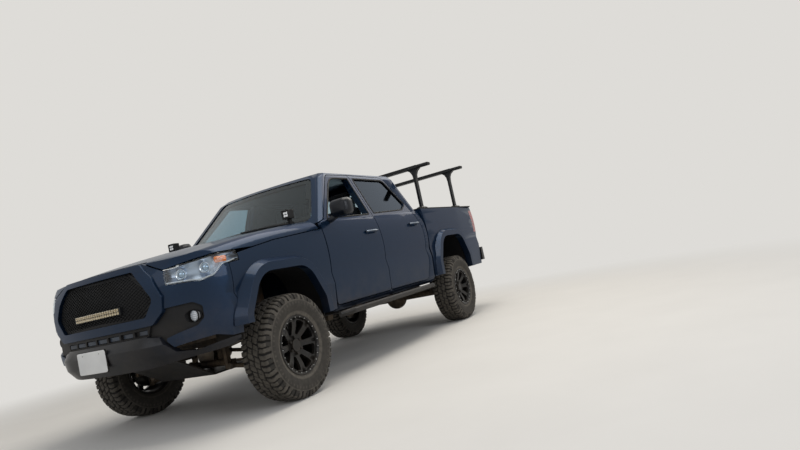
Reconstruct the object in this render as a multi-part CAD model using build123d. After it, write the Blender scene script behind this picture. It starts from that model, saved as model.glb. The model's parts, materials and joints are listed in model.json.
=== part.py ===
from build123d import *
from functools import lru_cache
import math
import os

# A lifted double-cab pickup. Millimetres, +X forward, +Y to the left, +Z up.
# The origin is on the ground, under the middle of the overall length.

# Overall sizes
LENGTH = 5392.0
WHEELBASE = 3236.0
FRONT_OVERHANG = 935.0
BODY_HALF_WIDTH = 917.0
FLARE_HALF_WIDTH = 965.0
HALF_TRACK = 836.0
NOSE_X = LENGTH / 2
TAIL_X = -LENGTH / 2
FRONT_AXLE_X = NOSE_X - FRONT_OVERHANG
REAR_AXLE_X = FRONT_AXLE_X - WHEELBASE

# Heights above the ground, with the lift and the tall tyres in them
SILL_Z = 540.0
DOOR_BOTTOM_Z = 588.0
BELT_Z = 1340.0
ROOF_Z = 1880.0
BED_RAIL_Z = 1405.0
BED_FLOOR_Z = 905.0
FLOOR_Z = 665.0

# Stations along the cab and the bed
FENDER_SPLIT_X = 1121.0
PILLAR_B_X = 171.0
CAB_REAR_X = -859.0
BED_GAP = 31.0
BED_FRONT_X = CAB_REAR_X - BED_GAP
BED_REAR_X = -2478.0
BED_FLOOR_REAR_X = -2388.0
HOOD_REAR_X = 1258.0

# Walls and gaps
PANEL_GAP = 8.0
HINGE_GAP = 9.0
DOOR_THICKNESS = 90.0
FRAME_THICKNESS = 38.0
DOOR_CLEARANCE = 8.0
SIDE_WALL = 140.0
GREEN_WALL = 80.0
SKIN = 5.0
HOOD_THICKNESS = 22.0
FLANGE_SKIN = 6.0
FLANGE_WIDTH = 30.0
OPENING_OVERLAP = 28.0
SEAL = 0.3
GLASS = 5.0

# Wheels
TYRE_RADIUS = 390.0
TYRE_HALF_WIDTH = 134.0
LUG_COUNT = 28
LUG_SHARE = 0.62
RIM_RADIUS = 210.0
RIM_LIP_RADIUS = 222.0
SPOKE_COUNT = 8
HUB_RADIUS = 70.0
DISC_RADIUS = 146.0
AXLE_Z = TYRE_RADIUS
SPARE_Z = 640.0
TIE_Z = 368.0
CARRIER_FACE_Y = 771.0
TIE_ROD_X = FRONT_AXLE_X + 150.0
GATE_HINGE = (-2445.0, 858.0)

# Steering axis: lower and upper ball joints
KINGPIN_LOW = (FRONT_AXLE_X, 749.0, 265.0)
KINGPIN_HIGH = (FRONT_AXLE_X, 654.0, 640.0)
BALL_LENGTH = 29.0
RACK_BORE = 17.0

# Door hinges: place from the door's front edge, heights, pin radius
DOOR_HINGE_BACK = 55.0
DOOR_HINGE_Y = 888.0
DOOR_HINGE_HEIGHTS = (760.0, 1140.0)
DOOR_PIN_RADIUS = 9.0
HINGE_HALF = 20.0

ALONG = {"X": (1, 0, 0), "Y": (0, 1, 0), "Z": (0, 0, 1)}
NODES = {}


def place(axis, at, u, v):
    """A flat point (u, v) put on the plane across an axis: X takes (y, z), Y takes (x, z), Z takes (x, y)."""
    return {"X": (at, u, v), "Y": (u, at, v), "Z": (u, v, at)}[axis]


def outline(points, axis, at=0.0):
    """Closed flat face; each point is (u, v), or (u, v, corner radius)."""
    radii = [p[2] if len(p) > 2 else 0.0 for p in points]
    spots = [place(axis, at, p[0], p[1]) for p in points]
    if any(radii):
        return make_face(FilletPolyline(*spots, radius=radii, close=True))
    return make_face(Polyline(*spots, close=True))


def prism(points, axis, low, high):
    """The outline pushed along its axis from low to high."""
    return extrude(outline(points, axis, low), amount=high - low, dir=ALONG[axis])


def is_arc(step):
    return isinstance(step[0], tuple)


def contour(steps, axis, at):
    """Closed face from a start point and steps: a point is a straight run, a pair (through, end) is an arc."""
    edges = []
    here = steps[0]
    for step in steps[1:]:
        end = step[1] if is_arc(step) else step
        spots = [place(axis, at, *here), place(axis, at, *end)]
        if is_arc(step):
            edges.append(Edge.make_three_point_arc(spots[0], place(axis, at, *step[0]), spots[1]))
        else:
            edges.append(Edge.make_line(*spots))
        here = end
    if here != steps[0]:
        edges.append(Edge.make_line(place(axis, at, *here), place(axis, at, *steps[0])))
    return make_face(edges)


def both_sides(half, crown, index=0):
    """A half run on the left, a crown arc over the middle (or a straight run), and the half run mirrored back."""

    def flip(p):
        return (-p[0], p[1]) if index == 0 else (p[0], -p[1])

    ends = [half[0]] + [s[1] if is_arc(s) else s for s in half[1:]]
    steps = list(half)
    steps.append((crown, flip(ends[-1])) if crown else flip(ends[-1]))
    for i in range(len(half) - 1, 0, -1):
        s = half[i]
        steps.append((flip(s[0]), flip(ends[i - 1])) if is_arc(s) else flip(ends[i - 1]))
    return steps


def block(x0, x1, y0, y1, z0, z1):
    """A plain box between two corners."""
    middle = ((x0 + x1) / 2, (y0 + y1) / 2, (z0 + z1) / 2)
    return Pos(*middle) * Box(abs(x1 - x0), abs(y1 - y0), abs(z1 - z0))


def rod(start, end, radius):
    """A round bar from one point to another."""
    a, b = Vector(*start), Vector(*end)
    return Solid.make_cylinder(radius, (b - a).length, Plane(origin=a, z_dir=(b - a).normalized()))


def pipe(points, radius, bend=60.0):
    """A round tube along straight runs with round bends."""
    path = FilletPolyline(*points, radius=bend) if len(points) > 2 else Line(*points)
    start = path.edges()[0]
    return sweep(Plane(origin=start @ 0, z_dir=start % 0) * Circle(radius), path=path)


def flip(shape):
    """The same shape on the other side of the vehicle."""
    return mirror(shape, about=Plane.XZ)


def pair(shape):
    return [shape, flip(shape)]


def grown(points, amount, axis, low, high):
    """The outline made larger, or smaller, by an amount all round, then pushed along its axis."""
    face = offset(outline(points, axis, low), amount=amount, kind=Kind.INTERSECTION)
    return extrude(face, amount=high - low, dir=ALONG[axis])


def node(name, *shapes):
    """Keeps the solids of one named piece."""
    solids = []
    for shape in shapes:
        for item in shape if isinstance(shape, list) else [shape]:
            solids.extend(item.solids())
    NODES[name] = Compound(children=solids) if len(solids) > 1 else solids[0]


# Body volumes: the outer skin and the same form set in by an amount


# Lines of the body side at three stations: x, ridge z, crease z, belt z, belt inset
SIDE_LINES = [
    (FENDER_SPLIT_X, 776.0, 870.0, 1312.0, 36.0),
    (CAB_REAR_X, 832.0, 932.0, 1376.0, 66.0),
    (BED_REAR_X, 880.0, 985.0, 1381.0, 26.0),
]


def side_half(inset, ridge, crease, belt, belt_inset):
    """Half of the body side's section, from the sill up to the belt line: (y, z)."""
    w = BODY_HALF_WIDTH - inset
    return [
        (w - 67, SILL_Z),
        ((w - 34, SILL_Z + 28), (w - 14, SILL_Z + 95)),
        (w, ridge),
        (w - 14, crease),
        ((w - 1, (crease + belt) / 2), (w - belt_inset, belt)),
    ]


def lower_body(inset, x0, x1):
    """The body side between two stations, its lines rising to the rear."""
    faces = []
    for x in (x0, x1):
        share = (FENDER_SPLIT_X - x) / (FENDER_SPLIT_X - CAB_REAR_X)
        lines = [a + share * (b - a) for a, b in zip(SIDE_LINES[0][1:], SIDE_LINES[1][1:])]
        faces.append(contour(both_sides(side_half(inset, *lines), None), "X", x))
    return loft(faces, ruled=True)


# Greenhouse rings, bottom to top: z, half width, rear x, front x at the corner, front x in the middle
GREENHOUSE = [
    (1294.0, 884.0, -860.0, 1112.0, 1248.0),
    (1790.0, 668.0, -790.0, 660.0, 752.0),
    (1846.0, 622.0, -748.0, 560.0, 650.0),
    (1896.0, 540.0, -660.0, 440.0, 520.0),
]
CORNER = 50.0


def greenhouse(inset, top=0.0):
    """The glazed upper cab as a ruled form through four rings, cut by the roof's crown."""
    rings = []
    for z, half, rear, front, middle in GREENHOUSE:
        y = half - inset
        xr = rear + inset
        xf = front - 1.3 * inset
        run = [
            (xr, y - CORNER),
            ((xr + 0.3 * CORNER, y - 0.3 * CORNER), (xr + CORNER, y)),
            (xf - CORNER, y),
            ((xf - 0.3 * CORNER, y - 0.3 * CORNER), (xf, y - CORNER)),
        ]
        rings.append(contour(both_sides(run, (middle - 1.3 * inset, 0.0), 1), "Z", z))
    solid = loft(rings, ruled=True)
    front, back = FENDER_SPLIT_X + 400, CAB_REAR_X - 20
    rising = [(front, 1289.0), (back, 1366.6), (back, 2000.0), (front, 2000.0)]
    solid &= prism(rising, "Y", -1000.0, 1000.0)
    z = ROOF_Z - top
    across = contour([(-900.0, 1200.0), (900.0, 1200.0), (900.0, z - 90), ((0.0, z), (-900.0, z - 90))], "X", -1200.0)
    run = contour(
        [(-1200.0, 1200.0), (1500.0, 1200.0), (1500.0, z - 220), ((-80.0, z), (-1200.0, z - 95))], "Y", -1000.0
    )
    crown = extrude(across, amount=3000.0, dir=ALONG["X"]) & extrude(run, amount=2000.0, dir=ALONG["Y"])
    return solid & crown


@lru_cache(maxsize=None)
def cab_volume(side, green, top=0.0):
    """Outer cab set in by one amount below the belt and another above it."""
    return lower_body(side, CAB_REAR_X + side * 0.5, FENDER_SPLIT_X) + greenhouse(green, top)


# Front sections, rear to front: x, half width, seam z, shoulder z, crown z
FRONT_SECTIONS = [
    (FENDER_SPLIT_X, 917.0, 1258.0, 1340.0, 1362.0),
    (FRONT_AXLE_X, 913.0, 1200.0, 1292.0, 1318.0),
    (2330.0, 890.0, 1118.0, 1205.0, 1240.0),
    (2720.0, 860.0, 1030.0, 1120.0, 1160.0),
]
SHOULDER_IN = 165.0

# Nose outlines seen from above, low to high: z, x in the middle, x at the corner
NOSE_OUTLINES = [
    (520.0, 2606.0, 2510.0),
    (720.0, 2662.0, 2572.0),
    (960.0, 2666.0, 2574.0),
    (1110.0, 2642.0, 2546.0),
    (1230.0, 2572.0, 2470.0),
    (1420.0, 2400.0, 2300.0),
]
NOSE_CORNER_Y = 640.0


@lru_cache(maxsize=None)
def front_volume(inset):
    """The whole front end: sections lofted along the length, trimmed by outlines lofted up the nose."""
    faces = []
    for x, half, seam, shoulder, crown in FRONT_SECTIONS:
        w = half - inset
        run = [
            (w - 30, SILL_Z),
            (w, 776.0),
            (w - 14, 870.0),
            ((w - 2, (870.0 + seam) / 2), (w - 24, seam)),
            ((w - 70, seam + 0.72 * (shoulder - seam)), (w - SHOULDER_IN, shoulder - inset)),
        ]
        faces.append(contour(both_sides(run, (0.0, crown - inset)), "X", x))
    along = loft(faces)
    rings = []
    for z, middle, corner in NOSE_OUTLINES:
        run = [
            (900.0, 960.0 - inset),
            (1700.0, 940.0 - inset),
            ((corner - 180.0 - inset, 828.0 - inset), (corner - inset, NOSE_CORNER_Y - inset)),
        ]
        rings.append(contour(both_sides(run, (middle - inset, 0.0), 1), "Z", z))
    return along & loft(rings)


# Door outlines seen from the side: x, z, corner radius
FRONT_DOOR_X = FENDER_SPLIT_X - HINGE_GAP
REAR_DOOR_X = PILLAR_B_X - HINGE_GAP
FRONT_DOOR = [
    (FRONT_DOOR_X, DOOR_BOTTOM_Z, 40.0),
    (FRONT_DOOR_X, 1300.0, 30.0),
    (1016.0, 1340.0, 60.0),
    (550.0, 1806.0, 120.0),
    (PILLAR_B_X - 16.0, 1815.0),
    (PILLAR_B_X, 1340.0),
    (PILLAR_B_X, DOOR_BOTTOM_Z, 30.0),
]
REAR_DOOR = [
    (REAR_DOOR_X, DOOR_BOTTOM_Z, 30.0),
    (REAR_DOOR_X, 1340.0),
    (REAR_DOOR_X - 16.0, 1815.0),
    (-530.0, 1806.0, 90.0),
    (-700.0, 1400.0, 120.0),
    (-772.0, 1180.0, 120.0),
    (-772.0, 760.0, 120.0),
    (-690.0, DOOR_BOTTOM_Z, 60.0),
]
FRONT_WINDOW = [
    (955.0, 1344.0, 30.0),
    (535.0, 1768.0, 120.0),
    (PILLAR_B_X + 30.0, 1776.0, 25.0),
    (PILLAR_B_X + 42.0, 1366.0, 20.0),
]
REAR_WINDOW = [
    (REAR_DOOR_X - 46.0, 1374.0, 20.0),
    (REAR_DOOR_X - 58.0, 1776.0, 25.0),
    (-515.0, 1768.0, 70.0),
    (-655.0, 1460.0, 40.0),
    (-520.0, 1398.0, 60.0),
]
HANDLES = {"front": (340.0, 1186.0), "rear": (-592.0, 1222.0)}
OUT = 1200.0
MIDDLE = 200.0


def door(points, window, outer, middle, skin):
    """One door: a thick shell under its outline, thinned to a flange along its rear edge, with the window cut."""
    body = (outer - middle) & prism(points, "Y", MIDDLE, OUT)
    shifted = Pos(FLANGE_WIDTH, 0, 0) * prism(points, "Y", MIDDLE, OUT)
    strip = prism(points, "Y", MIDDLE, OUT) - shifted
    body -= skin & strip
    body -= prism(window, "Y", MIDDLE, OUT)
    front = points[0][0]
    for z in DOOR_HINGE_HEIGHTS:
        body -= hinge_pocket(front - DOOR_HINGE_BACK, z)
    nose = [(front + 5, 863.0), (front, 863.0), (front - 60, 810.5), (front - 60, 600.0), (front + 5, 600.0)]
    return body - prism(nose, "Z", 500.0, BELT_Z - 2)


def hinge_pocket(x, z):
    """Room in the door's front edge for the fixed hinge leaf while the door swings open."""
    y = DOOR_HINGE_Y
    room = [(x - 8.8, y - 4.7), (x + 45.3, y - 106.2), (x + 95, y - 106.2), (x + 95, y + 15.1), (x - 0.5, y + 10)]
    low, high = z - HINGE_HALF, z + HINGE_HALF
    return prism(room, "Z", low, high) + rod((x, y, low), (x, y, high), DOOR_PIN_RADIUS + 6)


def hinge_leaf(x, z):
    """The fixed half of a door hinge: a leaf on the pillar with the pin at its end."""
    y = DOOR_HINGE_Y
    leaf = [(x - 4.4, y - 2.4), (x + 4.4, y + 2.4), (x + 48.4, y - 80.0), (x + 39.6, y - 84.8)]
    half = HINGE_HALF - SEAL
    return prism(leaf, "Z", z - 12, z + 12) + rod((x, y, z - half), (x, y, z + half), DOOR_PIN_RADIUS)


def belt_notch(front):
    """The front door's inner corner at the belt, cut back so that it swings clear of the pillar's foot."""
    return block(front - 102, front + 5, MIDDLE, 832.0, 1294.0, BELT_Z + 12)


def handle(x, z):
    """A pull handle standing off the door skin."""
    y = 900.0
    plan = [(x - 88, y), (x - 74, y + 44, 12.0), (x + 74, y + 44, 12.0), (x + 88, y), (x + 62, y), (x + 54, y + 32, 8.0)]
    plan += [(x - 54, y + 32, 8.0), (x - 62, y)]
    return prism(plan, "Z", z - 12, z + 12)


def build_doors():
    outer = cab_volume(0, 0)
    middle = cab_volume(DOOR_THICKNESS, FRAME_THICKNESS, -20.0)
    skin = cab_volume(FLANGE_SKIN, FLANGE_SKIN, -20.0)
    for name, points, window in (("front", FRONT_DOOR, FRONT_WINDOW), ("rear", REAR_DOOR, REAR_WINDOW)):
        panel = door(points, window, outer, middle, skin) + handle(*HANDLES[name])
        if name == "front":
            panel -= belt_notch(points[0][0])
        node(f"door_{name}_left", panel)
        node(f"door_{name}_right", flip(panel))
    pane = greenhouse(14.0, -20.0) - greenhouse(14.0 + GLASS, -20.0)
    rear = pane & grown(REAR_WINDOW, -SEAL, "Y", MIDDLE, OUT)
    front = pane & grown(FRONT_WINDOW, -SEAL, "Y", MIDDLE, OUT)
    node("glass_rear_left", rear)
    node("glass_rear_right", flip(rear))
    node("glass_front_right", flip(front))


# Windscreen and back window, seen from the front: y, z, corner radius
WINDSCREEN = [(-775.0, 1352.0, 40.0), (775.0, 1352.0, 40.0), (575.0, 1795.0, 80.0), (-575.0, 1795.0, 80.0)]
BACK_WINDOW = [(-660.0, 1400.0, 60.0), (660.0, 1400.0, 60.0), (560.0, 1750.0, 60.0), (-560.0, 1750.0, 60.0)]


def build_cab():
    """The cab shell: outer form less inner form, with door recesses, openings, windows, floor and footwell.

    The left half is cut out and joined to its mirror image.
    """
    left = block(-2000, 2000, 0, 1000, 0, 2000)
    shell = cab_volume(0, 0) & left
    inner = lower_body(SIDE_WALL, CAB_REAR_X + 45, FENDER_SPLIT_X - 60)
    shell -= inner & block(-2000, 2000, -1000, 1000, FLOOR_Z, 1500)
    shell -= greenhouse(GREEN_WALL, 45.0)
    shell -= block(CAB_REAR_X - 1, FENDER_SPLIT_X + 1, -700, 700, SILL_Z - 1, FLOOR_Z - 25)
    recess = cab_volume(-6, -6) - cab_volume(DOOR_THICKNESS + DOOR_CLEARANCE, FRAME_THICKNESS + DOOR_CLEARANCE, -20.0)
    # The rear door's window frame swings in a little as it opens, so the pillar is set back behind it
    deep = cab_volume(-6, -6) - cab_volume(DOOR_THICKNESS + DOOR_CLEARANCE, 66.0)
    shell -= deep & block(96, PILLAR_B_X + 4, 400, 1000, BELT_Z - 5, 1812)
    shell -= block(FENDER_SPLIT_X - 18, FENDER_SPLIT_X + 5, 780, 1000, 576, BELT_Z + 5)
    for points in (FRONT_DOOR, REAR_DOOR):
        shell -= recess & grown(points, PANEL_GAP, "Y", MIDDLE, OUT)
        shell -= grown(points, -OPENING_OVERLAP, "Y", MIDDLE + 150, OUT)
    shell -= prism(WINDSCREEN, "X", 420.0, 1400.0)
    shell -= prism(BACK_WINDOW, "X", -900.0, -600.0)
    shell -= block(FENDER_SPLIT_X - 70, FENDER_SPLIT_X + 5, -560, 560, FLOOR_Z, 1150)
    back = FENDER_SPLIT_X - 2
    toe = [(back, FLOOR_Z - 25), (1180.0, FLOOR_Z - 25), (1300.0, 760.0), (1300.0, 1190.0), (back, 1190.0)]
    footwell = prism(toe, "Y", 0, 600)
    toe = [(back - 3, FLOOR_Z), (1170.0, FLOOR_Z), (1280.0, 770.0), (1280.0, 1150.0), (back - 3, 1150.0)]
    footwell -= prism(toe, "Y", -560, 560)
    shell = shell + footwell
    for points in (FRONT_DOOR, REAR_DOOR):
        for z in DOOR_HINGE_HEIGHTS:
            shell = shell + hinge_leaf(points[0][0] - DOOR_HINGE_BACK, z)
    node("cab_shell", shell + flip(shell))
    glass = greenhouse(8.0, -20.0) - greenhouse(8.0 + 1.4 * GLASS, -20.0)
    screen = glass & grown(WINDSCREEN, -SEAL, "X", 420.0, 1400.0)
    back = glass & grown(BACK_WINDOW, -SEAL, "X", -900.0, -600.0)
    node("fixed_glass", screen, back)


# Wheel-arch opening about an axle, seen from the side: x from the axle, z, corner radius
FRONT_ARCH = [
    (-446.0, 500.0),
    (-440.0, 700.0, 120.0),
    (-285.0, 985.0, 220.0),
    (285.0, 985.0, 220.0),
    (448.0, 700.0, 120.0),
    (456.0, 500.0),
]
REAR_ARCH = [
    (-456.0, 500.0),
    (-450.0, 760.0, 120.0),
    (-285.0, 1052.0, 220.0),
    (285.0, 1052.0, 220.0),
    (452.0, 760.0, 120.0),
    (466.0, 500.0),
]


def arch_outline(axle_x, bottom=500.0):
    points = FRONT_ARCH if axle_x > 0 else REAR_ARCH
    return [(axle_x + p[0], bottom if p[1] == 500.0 else p[1], *p[2:]) for p in points]


def arch(axle_x, amount, low, high, bottom=500.0):
    return grown(arch_outline(axle_x, bottom), amount, "Y", low, high)


# Front-end outlines seen from the front, left side: y, z, corner radius
HEADLAMP = [
    (618.0, 1002.0, 15.0),
    (602.0, 1100.0, 20.0),
    (905.0, 1166.0, 10.0),
    (908.0, 1130.0, 10.0),
    (846.0, 1004.0, 30.0),
    (790.0, 984.0, 20.0),
    (752.0, 994.0, 10.0),
]
SURROUND = [
    (-404.0, 1184.0, 40.0),
    (404.0, 1184.0, 40.0),
    (526.0, 1080.0, 80.0),
    (594.0, 940.0, 40.0),
    (574.0, 838.0, 30.0),
    (486.0, 764.0, 40.0),
    (-486.0, 764.0, 40.0),
    (-574.0, 838.0, 30.0),
    (-594.0, 940.0, 40.0),
    (-526.0, 1080.0, 80.0),
]
GRILLE = [
    (-362.0, 1142.0, 50.0),
    (362.0, 1142.0, 50.0),
    (452.0, 1040.0, 80.0),
    (522.0, 932.0, 40.0),
    (442.0, 824.0, 40.0),
    (-442.0, 824.0, 40.0),
    (-522.0, 932.0, 40.0),
    (-452.0, 1040.0, 80.0),
]
FOG_RECESS = [
    (440.0, 764.0),
    (486.0, 790.0),
    (556.0, 857.0, 10.0),
    (742.0, 862.0, 30.0),
    (780.0, 826.0, 30.0),
    (778.0, 748.0, 30.0),
    (744.0, 706.0, 30.0),
    (562.0, 664.0, 10.0),
    (545.0, 640.0),
    (512.0, 688.0),
    (432.0, 700.0),
]
HOOD_EDGE = [(0.0, 1192.0), (415.0, 1192.0, 30.0), (604.0, 1108.0, 20.0), (915.0, 1176.0)]
# The painted bumper corner, round the fog-lamp recess and down to its lower leg
COVER = [
    (380.0, 752.0),
    (380.0, 1184.0),
    (411.0, 1184.0),
    (600.0, 1100.0),
    (700.0, 1120.0),
    (920.0, 1150.0),
    (950.0, 1130.0),
    (950.0, 590.0),
    (868.0, 590.0, 10.0),
    (812.0, 621.0, 20.0),
    (696.0, 612.0, 40.0),
    (590.0, 598.0, 10.0),
    (552.0, 646.0),
    (562.0, 664.0),
]
# The centre of the fog lamp on the left: x of its glass, y, z, and its radius
FOG_LAMP = (2462.0, 719.0, 771.0)
FOG_RADIUS = 42.0
FOG_TUBE = 8.0
# Cells of the lower intake: pitch, count, ribs between them, heights, depth
CELL_PITCH = 124.0
CELL_COUNT = 7
CELL_RIB = 16.0
CELL_LOW, CELL_HIGH = 709.0, 745.0
CELL_DEPTH = 14.0
# The lamp bar across the mesh: half length, heights
BAR_HALF = 248.0
BAR_LOW, BAR_HIGH = 880.0, 930.0
HOOD_SEAM = [(FENDER_SPLIT_X, 1260.0), (FRONT_AXLE_X, 1204.0), (2250.0, 1128.0), (2300.0, 900.0), (2760.0, 900.0)]
HOOD_HINGE = (1195.0, 1320.0)
FENDER_FRONT_X = 2250.0
LAMP_CUT_X = FENDER_FRONT_X - 100.0
COVER_SKIN = 12.0
LINER_OUT = 9.0
PANEL_LAP = 8.0
MESH_DEPTH = 10.0
# The small square lamps at the hood's rear corners: place and half size
POD_AT = (1290.0, 705.0, 1425.0)
POD_HALF = 38.0


def build_front():
    outer = front_volume(0)
    thin = outer - front_volume(SKIN)
    thick = outer - front_volume(HOOD_THICKNESS)

    # Hood: all that lies above its seams
    above_front = [(p[0], p[1], *p[2:]) for p in HOOD_EDGE] + [(915.0, 1500.0), (0.0, 1500.0)]
    half = prism(above_front, "X", 1000.0, 2800.0)
    above_side = HOOD_SEAM + [(2760.0, 1500.0), (FENDER_SPLIT_X, 1500.0)]
    rear = contour([(2800.0, -950.0), (2800.0, 950.0), (1150.0, 950.0), ((HOOD_REAR_X, 0.0), (1150.0, -950.0))], "Z", 1000.0)
    region = (half + flip(half)) & prism(above_side, "Y", -1000.0, 1000.0) & extrude(rear, amount=500.0, dir=ALONG["Z"])
    x, z = HOOD_HINGE
    eye = rod((x, 745.0, z), (x, 785.0, z), 7.0)
    node("hood", (thick & region) + eye + flip(eye))

    # Front fenders: below the hood seam, behind the lamps, open at the wheel
    below = [(p[0], p[1] - PANEL_GAP) for p in HOOD_SEAM[:3]]
    below += [(FENDER_FRONT_X, 860.0), (FENDER_FRONT_X - 60, 700.0), (FENDER_FRONT_X - 60, 560.0)]
    below += [(FENDER_SPLIT_X, 560.0)]
    fender = thin & prism(below, "Y", 500.0, OUT)
    fender -= arch(FRONT_AXLE_X, 0.0, 400.0, OUT)
    fender -= grown(HEADLAMP, 5.0, "X", LAMP_CUT_X, 2700.0)
    node("front_fenders", pair(fender))

    # Headlamps: thick pieces of the same skin
    lamp = (outer - front_volume(110.0)) & prism(HEADLAMP, "X", 2150.0, 2700.0)
    lamp &= block(LAMP_CUT_X + 5, 2700, 0, 1000, 900, 1300)
    node("headlamps", pair(lamp))

    # Grille surround and mesh panel
    ring = (front_volume(-14.0) - front_volume(30.0)) & prism(SURROUND, "X", 2300.0, 2800.0)
    ring -= prism(GRILLE, "X", 2300.0, 2800.0)
    node("grille_surround", ring)
    mesh = (front_volume(MESH_DEPTH) - front_volume(22.0)) & grown(GRILLE, -SEAL, "X", 2300.0, 2800.0)
    node("grille_mesh", mesh)

    # Painted bumper corners around the fog-lamp recess
    corner = (outer - front_volume(COVER_SKIN)) & prism(COVER, "X", 2150.0, 2800.0)
    corner &= block(FENDER_FRONT_X + PANEL_GAP - 60, 2800, 0, 1000, 560, 1200)
    for cut in (
        prism(FOG_RECESS, "X", 2200.0, 2800.0),
        grown(SURROUND, SEAL, "X", 2150.0, 2800.0),
        grown(HEADLAMP, SEAL, "X", 2150.0, 2800.0),
        arch(FRONT_AXLE_X, LINER_OUT + SEAL, 400.0, OUT),
        grown(below, 5.0, "Y", 500.0, OUT),
    ):
        corner -= cut
    corner = max(corner.solids(), key=lambda item: item.volume)
    node("bumper_cover", pair(corner))


def build_front_lamps():
    """The lamp bar on the mesh and two fog lamps, and two small lamps at the hood's rear corners."""
    span = block(2300, 2800, -BAR_HALF, BAR_HALF, BAR_LOW, BAR_HIGH)
    bar = (front_volume(-12.0) - front_volume(MESH_DEPTH - SEAL)) & span
    x, y, z = FOG_LAMP
    fog = rod((x - 70, y, z), (x, y, z), FOG_RADIUS - SEAL)
    node("driving_lights", bar, pair(fog))
    x, y, z = POD_AT
    pod = block(x - 34, x + 30, y - POD_HALF, y + POD_HALF, z - POD_HALF, z + POD_HALF)
    foot = prism([(x - 60, z - 150), (x - 8, z - 150), (x + 8, z - POD_HALF), (x - 22, z - POD_HALF)], "Y", y - 14, y + 14)
    node("ditch_lights", pair((pod + foot) - front_volume(-SEAL)))


# Flares, liners and the front bumper


def flare(axle_x, volume):
    """An arched band standing out from the body side, sloping down to its outer face, with a lip into the arch."""
    inner = grown_face(axle_x, 92.0, 880.0)
    outer = grown_face(axle_x, 48.0, FLARE_HALF_WIDTH)
    band = loft([inner, outer], ruled=True) - arch(axle_x, -14.0, 800.0, 1100.0, 430.0) - volume
    lip = arch(axle_x, -0.4, 893.0, FLARE_HALF_WIDTH - 30) - arch(axle_x, -14.0, 800.0, 1100.0, 430.0)
    solid = band + lip
    solid -= block(axle_x - 900, axle_x + 900, 0, 1100, 300, 562)
    lift = 642 if axle_x > 0 else 600
    return solid - block(axle_x - 900 * (axle_x < 0), axle_x + 900, 0, 1100, 300, lift)


def grown_face(axle_x, amount, y):
    return offset(outline(arch_outline(axle_x), "Y", y), amount=amount, kind=Kind.INTERSECTION)


def liner(axle_x, y0, y1):
    return arch(axle_x, LINER_OUT, y0, y1) - arch(axle_x, LINER_OUT - 5, y0 - 1, y1 + 1, 400.0)


def build_flares():
    front = flare(FRONT_AXLE_X, front_volume(-0.4))
    rear = flare(REAR_AXLE_X, bed_volume(-0.4))
    node("fender_flares", pair(front), pair(rear))
    x = FRONT_AXLE_X
    side = liner(x, 605.0, 900.0) + (liner(x, 440.0, 606.0) & block(x - 280, x + 280, 430, 610, 970, 1000))
    side = (side & front_volume(SKIN + SEAL)) + block(x + 20, x + 100, 440, 500, 946 + SEAL, 992)
    node("arch_liners", pair(side))


def bumper_plan(wall, z):
    """The bumper's outline seen from above at height z, set in by its wall."""
    return contour(
        [
            (2215.0, 880.0 - wall),
            ((2330.0 - 0.4 * wall, 885.0 - wall), (2440.0 - 0.7 * wall, 800.0 - 0.7 * wall)),
            (2566.0 - wall, 600.0 - 0.5 * wall),
            ((2640.0 - wall, 500.0 - 0.6 * wall), (2680.0 - wall, 350.0 - 0.2 * wall)),
            ((NOSE_X - wall, 0.0), (2680.0 - wall, -350.0 + 0.2 * wall)),
            ((2640.0 - wall, -500.0 + 0.6 * wall), (2566.0 - wall, -600.0 + 0.5 * wall)),
            (2440.0 - 0.7 * wall, -800.0 + 0.7 * wall),
            ((2330.0 - 0.4 * wall, -885.0 + wall), (2215.0, -880.0 + wall)),
        ],
        "Z",
        z,
    )


# The lower bumper's form: height, how far its outline is set in there
BUMPER_FORM = [(480.0, 62.0), (560.0, 12.0), (632.0, 0.0), (700.0, 30.0)]
BUMPER_WALL = 34.0
# Its upper edge seen from the front, left side: y, z, corner radius
BUMPER_TOP = [(440.0, 700.0, 20.0), (510.0, 684.0, 20.0), (588.0, 566.0, 20.0), (700.0, 548.0, 40.0), (900.0, 585.0)]


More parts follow.
